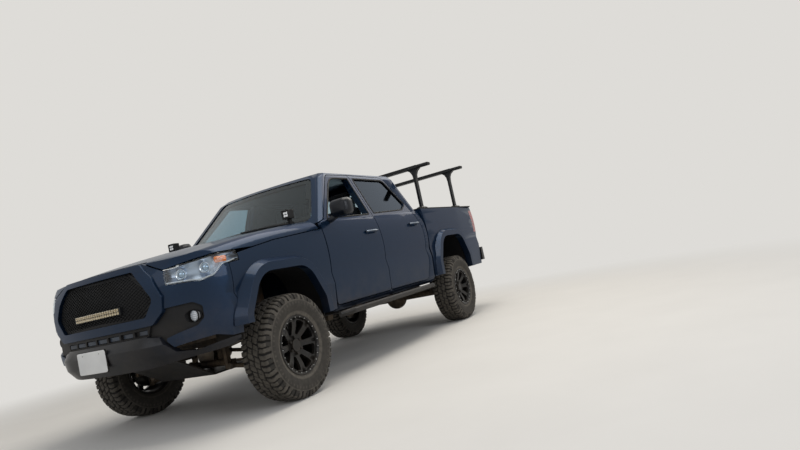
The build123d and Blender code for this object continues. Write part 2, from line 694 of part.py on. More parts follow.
def build_bumper():
    """The dark lower bumper: a bulged face lofted through set-in outlines, a tray on top and an open back."""
    shell = loft([bumper_plan(inset, z) for z, inset in BUMPER_FORM], ruled=True)
    hollow = [(z, inset + BUMPER_WALL) for z, inset in BUMPER_FORM]
    hollow[0] = (BUMPER_FORM[0][0] - 1, hollow[0][1])
    hollow[-1] = (BUMPER_FORM[-1][0] - 22, hollow[-1][1] - 8)
    shell -= loft([bumper_plan(inset, z) for z, inset in hollow], ruled=True)
    shell -= block(2000, 2262, -1000, 1000, 400, 800) + block(2000, 2540, -1000, 1000, 640, 800)
    above = BUMPER_TOP + [(900.0, 800.0), (0.0, 800.0), (0.0, 700.0)]
    cut = prism(above, "X", 2200.0, 2800.0)
    shell -= cut + flip(cut)
    below = [(2200.0, 470.0), (2200.0, 560.0), (2330.0, 530.0), (2560.0, 500.0), (2660.0, 479.0), (2800.0, 470.0)]
    shell -= prism(below, "Y", -1000.0, 1000.0)
    panel = grown(FOG_RECESS, PANEL_LAP + SEAL, "X", 2200.0, 2800.0)
    shell -= panel + flip(panel)
    shell = max(shell.solids(), key=lambda item: item.volume)
    node("bumper_valance", shell)

    # The dark insert: a row of cells in the middle, and a panel with a lamp tube at each side
    outer = front_volume(0.0)
    middle = [(-455.0, 764 - SEAL), (455.0, 764 - SEAL), (430.0, 700 + SEAL), (-430.0, 700 + SEAL)]
    insert = (outer - front_volume(26.0)) & prism(middle, "X", 2300.0, 2800.0)
    face = front_volume(-5.0) - front_volume(CELL_DEPTH)
    for i in range(CELL_COUNT):
        y = (i - (CELL_COUNT - 1) / 2) * CELL_PITCH
        half = (CELL_PITCH - CELL_RIB) / 2
        insert -= face & block(2400, 2800, y - half, y + half, CELL_LOW, CELL_HIGH)
    x, y, z = FOG_LAMP
    behind = front_volume(COVER_SKIN + SEAL)
    side = (behind - front_volume(26.0)) & grown(FOG_RECESS, PANEL_LAP, "X", 2200.0, 2800.0)
    tube = rod((x - 80, y, z), (x + 200, y, z), FOG_RADIUS + FOG_TUBE) & behind
    side = side + tube - rod((x - 81, y, z), (x + 200, y, z), FOG_RADIUS)
    side -= grown(SURROUND, SEAL, "X", 2150.0, 2800.0)
    insert -= grown(SURROUND, SEAL, "X", 2150.0, 2800.0)
    node("lower_intake", insert + side + flip(side))


# The bed


@lru_cache(maxsize=None)
def bed_volume(inset):
    """The bed's outer form, tucked in a little at the back."""
    faces = []
    for x, tuck in ((BED_FRONT_X - inset, 0.0), (-1900.0, 0.0), (BED_REAR_X + inset, 22.0)):
        share = (BED_FRONT_X - x) / (BED_FRONT_X - BED_REAR_X)
        ridge, crease = 834.0 + 30 * share, 934.0 + 30 * share
        half = side_half(inset + tuck, ridge, crease, BED_RAIL_Z - 14, 26.0)
        faces.append(contour(both_sides(half, None), "X", x))
    body = loft(faces, ruled=True)
    return body - block(-3000, 0, -1000, 1000, 500, 596 + inset)


BED_WALL_Y = 725.0
HOUSE = [
    (-452.0, 500.0),
    (-440.0, 760.0, 120.0),
    (-270.0, 1120.0, 220.0),
    (270.0, 1120.0, 220.0),
    (440.0, 760.0, 120.0),
    (452.0, 500.0),
]
HOUSE_Y = 535.0


def house(amount, y0, y1, bottom=700.0):
    points = [(REAR_AXLE_X + p[0], *p[1:]) for p in HOUSE]
    return grown(points, amount, "Y", y0, y1) & block(-3000, 0, y0, y1, bottom, 1400)


def build_bed():
    side = bed_volume(0.0) & block(-3000, 0, BED_WALL_Y, 1000, 500, 1500)
    side -= arch(REAR_AXLE_X, 0.0, 880.0, OUT)
    side -= house(12.0, 700.0, 881.0, 400.0)
    side -= block(-3000, BED_REAR_X + 70, 700, 812, 500, 850)
    lamp_zone = [(BED_REAR_X - 5, 1040.0), (BED_REAR_X - 5, 1338.0), (-2378.0, 1338.0), (-2400.0, 1040.0)]
    lamp = side & prism(lamp_zone, "Y", 772.0, 1000.0)
    side -= grown(lamp_zone, SEAL, "Y", 771.7, 1000.0)
    node("bed_sides", pair(side))
    node("tail_lamps", pair(lamp))
    floor = block(BED_FLOOR_REAR_X, BED_FRONT_X, -BED_WALL_Y + 0.5, BED_WALL_Y - 0.5, BED_FLOOR_Z - 25, BED_FLOOR_Z)
    front = block(BED_FRONT_X - 40, BED_FRONT_X, -BED_WALL_Y + 0.5, BED_WALL_Y - 0.5, BED_FLOOR_Z - 25, BED_RAIL_Z - 14)
    shell = house(10.0, HOUSE_Y - 5, 876.0) - house(4.0, HOUSE_Y, 900.0, 650.0)
    hole = house(9.0, HOUSE_Y, 900.0, 500.0)
    tub = floor + front
    for s in (hole, flip(hole)):
        tub -= s
    tub = tub + shell + flip(shell)
    node("bed_tub", tub)
    cap = block(BED_REAR_X + 4, BED_FRONT_X, BED_WALL_Y + 8, 888.0, BED_RAIL_Z - 13.7, BED_RAIL_Z)
    lip = block(BED_FRONT_X - 36, BED_FRONT_X, -BED_WALL_Y, BED_WALL_Y, BED_RAIL_Z - 13.7, BED_RAIL_Z)
    node("bed_rails", pair(cap), lip)
    gate = block(BED_REAR_X, BED_REAR_X + 62, -717, 717, 845, BED_RAIL_Z - 2)
    gate -= block(BED_REAR_X - 1, BED_REAR_X + 14, -440, 440, 930, 1215)
    gate = gate + block(BED_REAR_X + 2, BED_REAR_X + 16, -110, 110, 1255, 1340)
    x, z = GATE_HINGE
    pin = rod((x, -BED_WALL_Y + SEAL, z), (x, BED_WALL_Y - SEAL, z), 6.0)
    node("tailgate", gate + pin)


def build_rear_bumper():
    outer = contour(
        [
            (-2502.0, 900.0),
            (-2560.0, 900.0),
            ((-2640.0, 860.0), (-2668.0, 780.0)),
            (TAIL_X, 520.0),
            (TAIL_X, -520.0),
            (-2668.0, -780.0),
            ((-2640.0, -860.0), (-2560.0, -900.0)),
            (-2502.0, -900.0),
        ],
        "Z",
        640.0,
    )
    inner = offset(outer, amount=-26.0, kind=Kind.INTERSECTION)
    shell = extrude(outer, amount=176.0, dir=ALONG["Z"])
    shell -= extrude(Pos(0, 0, -1) * inner, amount=158.0, dir=ALONG["Z"])
    shell -= block(-2530, -2480, -870, 870, 630, 788)
    shell -= block(TAIL_X - 5, TAIL_X + 20, -175, 175, 672, 792)
    node("rear_bumper", shell)
    receiver = block(-2680, -2540, -38, 38, 532, 608) - block(-2690, -2560, -26, 26, 544, 596)
    receiver -= rod((-2640, -60, 570), (-2640, 60, 570), 8.0)
    plate = block(-2560, -2440, 440, 512, 572, 640 - SEAL) + block(-2600, -2540, 440, 512, 572, 797 - SEAL)
    node("hitch", receiver + block(-2556, -2496, -512, 512, 572, 608) + plate + flip(plate))


# The frame and running gear

RAIL_SIDE = [
    (2500.0, 580.0),
    (2500.0, 690.0),
    (1480.0, 700.0),
    (1240.0, 622.0),
    (-848.0, 622.0),
    (-1130.0, 830.0),
    (-1760.0, 830.0),
    (-2040.0, 760.0),
    (-2500.0, 752.0),
    (-2500.0, 640.0),
    (-2060.0, 640.0),
    (-1780.0, 700.0),
    (-1190.0, 700.0),
    (-900.0, 490.0),
    (1100.0, 490.0),
    (1420.0, 560.0),
]
RAIL_PLAN = [
    (2500.0, 440.0),
    (1250.0, 440.0),
    (950.0, 470.0),
    (-900.0, 470.0),
    (-1250.0, 512.0),
    (-2500.0, 512.0),
    (-2500.0, 440.0),
    (-1250.0, 440.0),
    (-900.0, 400.0),
    (950.0, 400.0),
    (1250.0, 370.0),
    (2500.0, 370.0),
]


def build_frame():
    rail = prism(RAIL_SIDE, "Y", 300.0, 600.0) & prism(RAIL_PLAN, "Z", 400.0, 900.0)
    x = FRONT_AXLE_X
    parts = [
        block(2400, 2480, -372, 372, 590, 680),
        block(x + 120, x + 160, -372, 372, 505, 570),
        block(x - 230, x - 190, -372, 372, 505, 570),
        block(540, 620, -402, 402, 432, 456),
        block(-890, -820, -402, 402, 590, 636),
        block(-1260, -1180, -442, 442, 735, 800),
        block(-1630, -1570, -442, 442, 735, 800),
        block(-2085, -2015, -442, 442, 800, 850),
        rod((-2050, 0, SPARE_Z + 76 + SEAL), (-2050, 0, 810), 30.0),
    ]
    for shape in (
        block(540, 620, 385, 405, 432, 500),
        block(-2085, -2015, 441, 475, 740, 850),
        block(x - 2, x + 118, 385, 500, 931, 946),
        block(x - 2, x + 10, 385, 438, 690, 946),
        block(x + 94, x + 118, 385, 438, 690, 946),
        block(x - 220, x - 180, 385, 416 - SEAL, 320, 600),
        block(x + 180, x + 220, 385, 416 - SEAL, 320, 600),
        block(x - 220, x - 180, 400, 440, 690, 752),
        block(x + 180, x + 220, 400, 440, 690, 752),
        block(700, 780, 405, 465, 620, 640 - SEAL),
        block(-300, -220, 405, 465, 620, 640 - SEAL),
        block(-800, -740, 405, 465, 620, 640 - SEAL),
        block(-1500, -1440, 445, 505, 828, BED_FLOOR_Z - 25 - SEAL),
        block(-2340, -2280, 445, 505, 752, BED_FLOOR_Z - 25 - SEAL),
        block(-1160, -1100, 445, 500, 800, BED_FLOOR_Z - 25 - SEAL),
    ):
        parts += [shape, flip(shape)]
    solid = rail + flip(rail)
    for shape in parts:
        solid = solid + shape
    node("frame_rails", solid)


TANK = [(-800.0, 618.0, 30.0), (-120.0, 618.0, 30.0), (-120.0, 450.0, 60.0), (-800.0, 430.0, 60.0)]


def build_powertrain():
    engine = block(1312, 1960, -290, 290, 650, 1130)
    mount = block(1600, 1700, 285, 370 - SEAL, 662, 688)
    gearbox = block(1250, 1500, -130, 130, 500, 634) + rod((1260, 0, 545), (300, 0, 545), 82.0)
    engine += block(1312, 1500, -130, 130, 630, 655)
    gearbox += block(250, 480, -190, 110, 470, 622) - block(240, 252, -190, -60, 470, 622)
    node("engine_and_gearbox", engine + gearbox + mount + flip(mount))
    rests = block(2345, 2385, 250, 300, 1060, 1300) & front_volume(HOOD_THICKNESS + SEAL)
    node("radiator", block(2340, 2400 - SEAL, -340, 340, 640, 1070) + rests + flip(rests))
    x = FRONT_AXLE_X
    diff = rod((x - 70, -130, 432), (x - 70, 130, 432), 62.0) + rod((x - 150, -20, 432), (x + 20, -20, 432), 96.0)
    diff += block(x - 190 + SEAL, x - 100, -60, 20, 508, 524)
    rear = rod((250 - SEAL - 2.4, 0, 540), (REAR_AXLE_X + 140 + SEAL + 2.4, 0, AXLE_Z + 14), 32.0)
    front = rod((480 + SEAL + 2.8, -165, 520), (x - 150 - SEAL - 2.8, -60, 436), 22.0)
    node("drive_shafts", rear, diff + front)
    pipe_a = pipe([(1420, -240, 624 - SEAL), (1100, -235, 560), (-350, -250, 555)], 26.0)
    box = rod((-340, -250, 555), (-790, -250, 555), 78.0)
    run = [(-780, -250, 555), (-960, -250, 560), (-1130, -300, 655), (-1600, -300, 655), (-1790, -476, 575)]
    run += [(-2425, -476, 565)]
    pipe_b = pipe(run, 26.0)
    node("exhaust", pipe_a + box + pipe_b)
    tank = prism(TANK, "Y", 110, 400 - SEAL)
    node("fuel_tank", tank)


def build_front_suspension():
    x = FRONT_AXLE_X
    low = Vector(*KINGPIN_LOW)
    axis = (Vector(*KINGPIN_HIGH) - low).normalized()
    lower = rod(low - axis * 19, low + axis * BALL_LENGTH, 21.0)
    for dx in (-200.0, 200.0):
        lower = lower + rod((x + dx, 432, 340), (x, low.Y, low.Z), 17.0)
        lower = lower + rod((x + dx - 26, 440, 340), (x + dx + 26, 440, 340), 24.0)
    lower = lower + rod((x + 140, 520, 328), (x - 140, 520, 328), 14.0)
    top = Vector(*KINGPIN_HIGH)
    upper = rod(top - axis * BALL_LENGTH, top + axis * 18, 18.0)
    for dx in (-200.0, 200.0):
        upper = upper + rod((x + dx, 454 + SEAL, 726), top + axis * 3, 12.0)
        upper = upper + rod((x + dx - 22, 454 + SEAL, 726), (x + dx + 22, 454 + SEAL, 726), 14.0)
    foot, head = (x + 50, 596.0, 322.0), (x + 50, 445.0, 916.0)
    strut = rod(foot, (x + 50, 527, 594), 24.0) + rod((x + 50, 545, 520), head, 10.0)
    strut += rod((x + 50, 560, 461), (x + 50, 556.4, 475), 42.0) + rod((x + 50, 451, 892), head, 38.0)
    strut += rod((x + 6, 596, 312), (x + 94, 596, 312), 20.0)
    rack = rod((x + 150, -330, TIE_Z), (x + 150, 330, TIE_Z), 28.0)
    rack -= rod((x + 150, -340, TIE_Z), (x + 150, 340, TIE_Z), RACK_BORE)
    rack += block(x + 125, x + 155, 260, 300, TIE_Z + 24, 505 - SEAL)
    rack += block(x + 125, x + 155, -300, -260, TIE_Z + 24, 505 - SEAL)
    half = lower + strut
    shaft = rod((x - 70, 132.3 + SEAL, 432), (x, 662, AXLE_Z), 15.0) + rod((x - 7, 610, AXLE_Z + 4), (x, 662, AXLE_Z), 42.0)
    node("front_suspension", pair(half), pair(upper), pair(shaft), rack)


def build_knuckles():
    x = FRONT_AXLE_X
    z = AXLE_Z
    bottom, top = Vector(*KINGPIN_LOW), Vector(*KINGPIN_HIGH)
    axis = (top - bottom).normalized()
    carrier = rod((x, 712, z), (x, CARRIER_FACE_Y, z), 60.0)
    low = rod(bottom + axis * (BALL_LENGTH + SEAL), bottom + axis * 80, 20.0)
    neck = rod((x, 730, z + 15), (x, 724, 530), 20.0) + rod((x, 726, 522), top - axis * 40, 18.0)
    neck += rod(top - axis * 50, top - axis * (BALL_LENGTH + SEAL), 18.0)
    arm = rod((x, 730, TIE_Z + 4), (x + 150, 714, TIE_Z), 13.0)
    arm += rod((x + 150, 714, TIE_Z - 15), (x + 150, 714, TIE_Z + 15), 16.0)
    caliper = rod((x, 758, z), (x, 824, z), 182.0) - rod((x, 757, z), (x, 825, z), 108.0)
    caliper &= block(x - 220, x - 90, 700, 900, z - 76, z + 76)
    caliper -= rod((x, CARRIER_FACE_Y, z), (x, 813, z), DISC_RADIUS + 8)
    bracket = block(x - 125, x - 40, 744, CARRIER_FACE_Y, z - 52, z + 52)
    shape = carrier + low + neck + arm + caliper + bracket
    node("knuckle_left", shape)
    node("knuckle_right", flip(shape))
    bar = rod((TIE_ROD_X, -686, TIE_Z), (TIE_ROD_X, 686, TIE_Z), 11.0)
    node("tie_rods", bar + rod((TIE_ROD_X, -425, TIE_Z), (TIE_ROD_X, 425, TIE_Z), RACK_BORE - SEAL))


def build_rear_axle():
    x = REAR_AXLE_X
    axle = rod((x, -760, AXLE_Z), (x, 760, AXLE_Z), 42.0) + Pos(x, 0, AXLE_Z) * Sphere(132.0)
    axle += rod((x + 100, 0, AXLE_Z + 12), (x + 140, 0, AXLE_Z + 12), 48.0)
    for shape in (
        rod((x, 759, AXLE_Z), (x, CARRIER_FACE_Y, AXLE_Z), 132.0),
        block(x - 60, x + 60, 532, 588, AXLE_Z - 20, AXLE_Z + 45 - SEAL),
        block(x - 110, x - 30, 455, 500, AXLE_Z - 30, AXLE_Z + 6),
    ):
        axle = axle + shape + flip(shape)
    node("rear_axle", axle)
    leaf = contour(
        [
            (-825.0, 556.0),
            ((-1475.0, AXLE_Z + 45), (-2175.0, 580.0)),
            (-2175.0, 594.0),
            ((-1475.0, AXLE_Z + 79), (-825.0, 570.0)),
        ],
        "Y",
        530.0,
    )
    spring = extrude(leaf, amount=60.0, dir=ALONG["Y"]) + rod((-825, 526, 563), (-825, 594, 563), 24.0)
    spring += rod((-2175, 526, 588), (-2175, 594, 588), 22.0)
    spring += block(-850, -800, 471, 594, 575, 612) + block(-2195, -2155, 513, 594, 600, 668)
    spring += block(x - 55, x + 55, 528, 592, AXLE_Z + 75, AXLE_Z + 93)
    damper = rod((x - 90, 478, AXLE_Z + 19), (x - 210, 478, 690), 24.0)
    node("rear_springs", pair(spring), pair(damper))


# Wheels


def ring_points(w, r, columns):
    return [(r * math.cos(a), w, r * math.sin(a)) for a in columns]


def lug_tyre():
    """A tyre as one faceted solid: raised shoulder lugs with notches between them, about the Y axis."""
    step = 2 * math.pi / LUG_COUNT
    columns = []
    for k in range(LUG_COUNT):
        middle = k * step
        columns += [middle - LUG_SHARE * step / 2, middle + LUG_SHARE * step / 2]
    count = len(columns)
    tip = TYRE_RADIUS / math.cos(LUG_SHARE * step / 2)
    # Section: half width, radius
    bead, side, shoulder = (104.5, 210.6), (TYRE_HALF_WIDTH, 296.0), (129.0, 343.0)
    edge, crown, centre = (122.0, 370.0), (108.0, tip - 4.0), (78.0, tip)
    faces = []

    def quad(a, b, c, d):
        faces.append(Face(Wire.make_polygon([a, b, c, d], close=True)))

    rings = {}
    for sign in (-1, 1):
        for spot in (bead, side, shoulder, edge, crown, centre):
            rings[sign, spot] = ring_points(sign * spot[0], spot[1], columns)
    for k in range(count):
        n = (k + 1) % count
        quad(rings[-1, bead][k], rings[-1, bead][n], rings[1, bead][n], rings[1, bead][k])
        quad(rings[-1, centre][k], rings[-1, centre][n], rings[1, centre][n], rings[1, centre][k])
        for sign in (-1, 1):
            for a, b in ((bead, side), (side, shoulder)):
                quad(rings[sign, a][k], rings[sign, a][n], rings[sign, b][n], rings[sign, b][k])
            profile = (shoulder, edge, crown, centre) if k % 2 == 0 else (shoulder, centre)
            for a, b in zip(profile, profile[1:]):
                quad(rings[sign, a][k], rings[sign, a][n], rings[sign, b][n], rings[sign, b][k])
            wall = [rings[sign, p][k] for p in (shoulder, edge, crown, centre)]
            faces.append(Face(Wire.make_polygon(wall, close=True)))
    return Solid(Shell(faces))


def plain_tyre(columns=24):
    points = [(104.5, 212.3), (134.0, 298.0), (127.0, 350.0), (104.0, 386.0)]
    points = points + [(-w, r) for w, r in reversed(points)]
    faces = []
    angles = [2 * math.pi * k / columns for k in range(columns)]
    rings = [ring_points(w, r, angles) for w, r in points]
    for i in range(len(points)):
        j = (i + 1) % len(points)
        for k in range(columns):
            n = (k + 1) % columns
            faces.append(Face(Wire.make_polygon([rings[i][k], rings[i][n], rings[j][n], rings[j][k]], close=True)))
    return Solid(Shell(faces))


def turned(points, at=0.0):
    """A section (w, r) turned about the Y axis."""
    face = make_face(Polyline(*[(r, w, 0.0) for w, r in points], close=True))
    return revolve(face, axis=Axis.Y)


def rim(brake):
    """A rim about the Y axis, outboard to +Y: barrel, lips, dished spokes, hub and the brake disc or drum."""
    barrel = turned(
        [
            (-113.0, RIM_LIP_RADIUS),
            (-105.0, RIM_RADIUS),
            (105.0, RIM_RADIUS),
            (113.0, RIM_LIP_RADIUS),
            (116.0, RIM_LIP_RADIUS - 3),
            (111.0, RIM_RADIUS - 6),
            (86.0, RIM_RADIUS - 14),
            (-90.0, RIM_RADIUS - 14),
            (-111.0, RIM_RADIUS - 6),
            (-116.0, RIM_LIP_RADIUS - 3),
        ]
    )
    face = turned(
        [
            (30.0, 0.0),
            (30.0, HUB_RADIUS),
            (62.0, 140.0),
            (74.0, RIM_RADIUS - 12),
            (98.0, RIM_RADIUS - 12),
            (86.0, 140.0),
            (60.0, HUB_RADIUS + 6),
            (56.0, 0.0),
        ]
    )
    window = [(84.0, 13.0, 9.0), (180.0, 48.0, 15.0), (188.0, 0.0), (180.0, -48.0, 15.0), (84.0, -13.0, 9.0)]
    cut = extrude(outline(window, "Y", -20.0), amount=160.0, dir=ALONG["Y"])
    for k in range(SPOKE_COUNT):
        face -= Rot(0, 360.0 * (k + 0.5) / SPOKE_COUNT, 0) * cut
    shape = barrel + face + turned([(-57.0, 0.0), (-57.0, 70.0), (31.0, 70.0), (31.0, 0.0)])
    shape += turned([(56.0, 0.0), (56.0, 52.0), (76.0, 46.0), (76.0, 0.0)])
    seat_face = -(HALF_TRACK - CARRIER_FACE_Y - SEAL)
    if brake != "none":
        shape += turned([(seat_face, 0.0), (seat_face, 46.0), (-50.0, 46.0), (-50.0, 0.0)])
    if brake == "disc":
        shape += turned([(-57.0, 60.0), (-57.0, DISC_RADIUS), (-31.0, DISC_RADIUS), (-31.0, 60.0)])
    elif brake == "drum":
        shape += turned([(-57.0, 60.0), (-57.0, 140.0), (10.0, 140.0), (10.0, 60.0)])
    return shape


def build_wheels():
    tyre = lug_tyre()
    disc, drum = rim("disc"), rim("drum")
    for end, x, wheel in (("front", FRONT_AXLE_X, disc), ("rear", REAR_AXLE_X, drum)):
        left = Pos(x, HALF_TRACK, AXLE_Z)
        right = Pos(x, -HALF_TRACK, AXLE_Z)
        node(f"tyre_{end}_left", left * tyre)
        node(f"tyre_{end}_right", right * tyre)
        node(f"rim_{end}_left", left * wheel)
        node(f"rim_{end}_right", flip(left * wheel))
    at = Pos(-2050, 0, SPARE_Z) * Rot(90, 0, 0)
    node("spare_tyre", at * plain_tyre())
    node("spare_rim", at * rim("none"))


# Inside the cab and the outside fittings


def seat(x, y, width, lean, top, head=True):
    base = block(x - 260, x + 260, y - width / 2, y + width / 2, 880, 985)
    rise = [(x - 250, 930.0), (x - 140, 960.0), (x - lean, top), (x - lean - 95, top), (x - lean - 105, top - 50)]
    back = prism(rise, "Y", y - width / 2, y + width / 2)
    stand = block(x - 220, x + 220, y - width / 2 + 40, y + width / 2 - 40, FLOOR_Z + SEAL, 885)
    shape = base + back + stand
    if head:
        shape += block(x - 380, x - 290, y - 130, y + 130, top + SEAL, top + 160)
    return shape


def build_cabin():
    front = seat(290, 380, 520, 270, 1530.0)
    rear = seat(-330, 0, 1240, 220, 1440.0, False)
    for y in (-400, 0, 400):
        rear += block(-640, -565, y - 120, y + 120, 1435, 1600)
    node("seats", pair(front), rear)
    panel = [(1060.0, 980.0), (1060.0, 1290.0), (900.0, 1310.0), (730.0, 1230.0), (760.0, 1020.0), (900.0, 960.0)]
    dash = prism(panel, "Y", -680, 680) + block(120, 950, -110, 110, FLOOR_Z + SEAL, 960) + block(860, 960, -110, 110, 900, 1100)
    hub, lean = Vector(618, 380, 1203), Vector(-200, 0, 65).normalized()
    column = rod(hub - lean * 230, hub - lean * (15 + SEAL), 34.0)
    node("dashboard", dash + column)
    wheel = Plane(origin=hub, z_dir=lean)
    rimmed = Solid.make_torus(180, 15, wheel)
    spokes = wheel * Pos(0, 0, 0) * Box(350, 46, 16) + wheel * Cylinder(52, 30)
    node("steering_wheel", rimmed + spokes)
    # The tray at the foot of the windscreen
    tray = block(1125, 1252, -820, 820, 1225, 1240)
    node("cowl_tray", tray + block(1123, 1140, -600, 600, 1190 + SEAL, 1226))


def mirror_unit():
    cap = prism([(968.0, 1325.0, 30.0), (1000.0, 1480.0, 45.0), (900.0, 1500.0, 30.0), (880.0, 1330.0, 25.0)], "Y", 950, 1110)
    arm = block(915, 995, 820, 985, 1306, 1340)
    return cap + arm


def build_fittings():
    unit = mirror_unit() - cab_volume(-0.3, -0.3)
    unit = max(unit.solids(), key=lambda s: s.volume)
    node("mirror_left", unit)
    node("mirror_right", flip(unit))
    slider = pipe([(1070, 870, 505), (960, 932, 512), (-690, 932, 512), (-800, 870, 505)], 27.0)
    slider += block(-690, 960, 862, 932, 518, 526)
    for x in (760, 80, -560):
        slider += rod((x, 470 + SEAL, 512), (x, 930, 512), 19.0)
    node("rock_sliders", pair(slider))
    run = [(2478.0, 590.0 - SEAL), (2478.0, 560.0), (2000.0, 296.0), (1536.0, 296.0), (1536.0, 505.0 - SEAL)]
    run += [(1548.0, 505.0 - SEAL), (1548.0, 306.0), (1997.0, 306.0), (2440.0, 551.0), (2440.0, 590.0 - SEAL)]
    skid = prism(run, "Y", -290, 290) - block(1500, 1560, -200, 200, 306, 520)
    node("skid_plate", skid)
    rack = None
    for x in (-1150, -2180):
        bar = block(x - 40, x + 40, -850, 850, 1900, 1940)
        for y in (-790, 790):
            bar += block(x - 30, x + 30, y - 16, y + 16, BED_RAIL_Z + SEAL, 1902)
            bar += block(x - 70, x + 70, y - 40, y + 40, BED_RAIL_Z + SEAL, BED_RAIL_Z + 16)
        rack = bar if rack is None else [rack, bar]
    node("load_rack", rack)


def finish():
    for name, shape in NODES.items():
        export_step(shape, f"parts/{name}.step")


if __name__ == "__main__":
    os.makedirs("parts", exist_ok=True)
    for make in (
        build_frame,
        build_powertrain,
        build_front_suspension,
        build_knuckles,
        build_rear_axle,
        build_wheels,
        build_bed,
        build_rear_bumper,
        build_cabin,
        build_cab,
        build_doors,
        build_front,
        build_front_lamps,
        build_flares,
        build_bumper,
        build_fittings,
    ):
        make()
    finish()
    print("nodes written:", len(NODES))
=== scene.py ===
# %% [markdown]
# # A lifted double-cab pickup, dressed for a portrait
#
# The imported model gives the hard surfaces. This file keeps them where they stand and adds what a renderer
# is for: paint, rubber, glass, tread, bolts, lamps, seams and soft seats. Every length ends up in metres,
# +X forward, +Y left and +Z up.

# %% Frame
import json
import math

import bmesh
import bpy
import numpy as np
from mathutils import Matrix, Vector

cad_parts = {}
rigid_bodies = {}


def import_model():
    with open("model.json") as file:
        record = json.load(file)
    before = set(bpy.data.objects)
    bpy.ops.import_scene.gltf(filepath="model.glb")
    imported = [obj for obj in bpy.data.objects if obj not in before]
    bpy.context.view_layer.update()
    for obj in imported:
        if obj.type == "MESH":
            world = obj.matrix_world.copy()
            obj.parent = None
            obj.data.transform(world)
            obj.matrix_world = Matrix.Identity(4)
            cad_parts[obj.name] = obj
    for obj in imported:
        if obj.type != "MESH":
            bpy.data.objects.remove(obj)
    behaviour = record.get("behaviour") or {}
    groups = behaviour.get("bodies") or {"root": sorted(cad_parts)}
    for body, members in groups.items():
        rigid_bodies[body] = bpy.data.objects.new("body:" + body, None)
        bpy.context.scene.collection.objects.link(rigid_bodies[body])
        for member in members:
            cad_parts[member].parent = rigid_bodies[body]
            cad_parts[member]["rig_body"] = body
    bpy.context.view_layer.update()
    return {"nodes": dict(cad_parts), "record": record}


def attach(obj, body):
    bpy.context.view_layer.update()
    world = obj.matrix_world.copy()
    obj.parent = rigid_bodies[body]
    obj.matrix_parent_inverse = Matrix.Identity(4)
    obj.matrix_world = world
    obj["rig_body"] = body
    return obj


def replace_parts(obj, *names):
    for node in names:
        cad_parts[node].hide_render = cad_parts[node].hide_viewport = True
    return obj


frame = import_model()
nodes = frame["nodes"]

# %% [markdown]
# ## The camera
#
# The photograph was matched to about thirty points, such as wheel centres, door corners and lamps. The
# truck stands level here, so the camera carries the tilt that the photograph shows.

# %% Camera
CAMERA_PLACE = Vector((5.2452, 3.8069, 0.8121))
CAMERA_RIGHT = Vector((-0.466637, 0.858713, -0.211804))
CAMERA_FORWARD = Vector((-0.88345, -0.463923, 0.065502))
LENS_MM = 26.51
SENSOR_MM = 36.0


def placed(name, data):
    """A new object of the scene, for a mesh, a lamp or a camera."""
    new_object = bpy.data.objects.new(name, data)
    bpy.context.scene.collection.objects.link(new_object)
    return new_object


camera_data = bpy.data.cameras.new("camera")
camera_data.lens = LENS_MM
camera_data.sensor_width = SENSOR_MM
camera = placed("camera", camera_data)
camera_up = CAMERA_RIGHT.cross(CAMERA_FORWARD)
turn = Matrix((CAMERA_RIGHT, camera_up, -CAMERA_FORWARD)).transposed().to_4x4()
camera.matrix_world = Matrix.Translation(CAMERA_PLACE) @ turn
bpy.context.scene.camera = camera
print("camera at", tuple(round(v, 2) for v in CAMERA_PLACE))

# %% [markdown]
# ## One way to write colours and nodes
#
# Colours are written in hex, as they look on a screen, and one function turns them to the renderer's
# linear values. A second adds a shader node with its settings and links, and gives back the output that
# the next node needs, so that each material reads as a short list.


# %% Colour and node helpers
def linear(hex_colour):
    """sRGB hex to linear RGBA: each channel c becomes ((c + 0.055) / 1.055) ** 2.4 above the toe."""
    channels = [int(hex_colour[i : i + 2], 16) / 255 for i in (1, 3, 5)]
    toe = [c / 12.92 if c <= 0.04045 else ((c + 0.055) / 1.055) ** 2.4 for c in channels]
    return (*toe, 1.0)


def add(owner, kind, inputs, give=0, **settings):
    """Adds one shader node. An input that is an output socket is linked, a hex colour or number is set."""
    node = owner.node_tree.nodes.new("ShaderNode" + kind)
    for name, value in settings.items():
        setattr(node, name, value)
    for name, value in inputs.items():
        if isinstance(value, bpy.types.NodeSocket):
            owner.node_tree.links.new(value, node.inputs[name])
        else:
            node.inputs[name].default_value = linear(value) if isinstance(value, str) else value
    return node.outputs[give] if len(node.outputs) else None


def new_material(name):
    """An empty node material and its Object coordinates, in metres."""
    material = bpy.data.materials.new(name)
    material.use_nodes = True
    material.node_tree.nodes.clear()
    return material, add(material, "TexCoord", {}, "Object")


def per_metre(size_mm):
    """The scale at which a noise texture's blobs are about size_mm across."""
    return 1000.0 / size_mm


def bands_per_metre(width_mm):
    """The scale at which a wave texture's light and dark bands are each about width_mm wide."""
    return per_metre(width_mm) / 6.0


print("white is", linear("#ffffff"))

# %% [markdown]
# ## Dust
#
# Fine tan dust lies low on the body, on the tyres and on the step bars, and thins out with height. It is
# a factor between 0 and 1: noise patches times a fade with height. Other materials mix it in.

# %% Dust
DUST = "#8d7a62"


def dust(m, spot, fade_low, fade_high, amount, patch_mm=90.0):
    """How dusty a point is: the amount low down, none above fade_high metres, broken up by noise."""
    height = add(m, "SeparateXYZ", {"Vector": spot}, "Z")
    limits = {"Value": height, "From Min": fade_low, "From Max": fade_high, "To Min": amount, "To Max": 0.0}
    fade = add(m, "MapRange", limits, interpolation_type="SMOOTHSTEP")
    noise = {"Vector": spot, "Scale": per_metre(patch_mm), "Detail": 5.0, "Roughness": 0.62}
    cloud = add(m, "TexNoise", noise)
    contrast = {"Value": cloud, "From Min": 0.38, "From Max": 0.66, "To Min": 0.25, "To Max": 1.0}
    patches = add(m, "MapRange", contrast)
    return add(m, "Math", {0: fade, 1: patches}, operation="MULTIPLY")


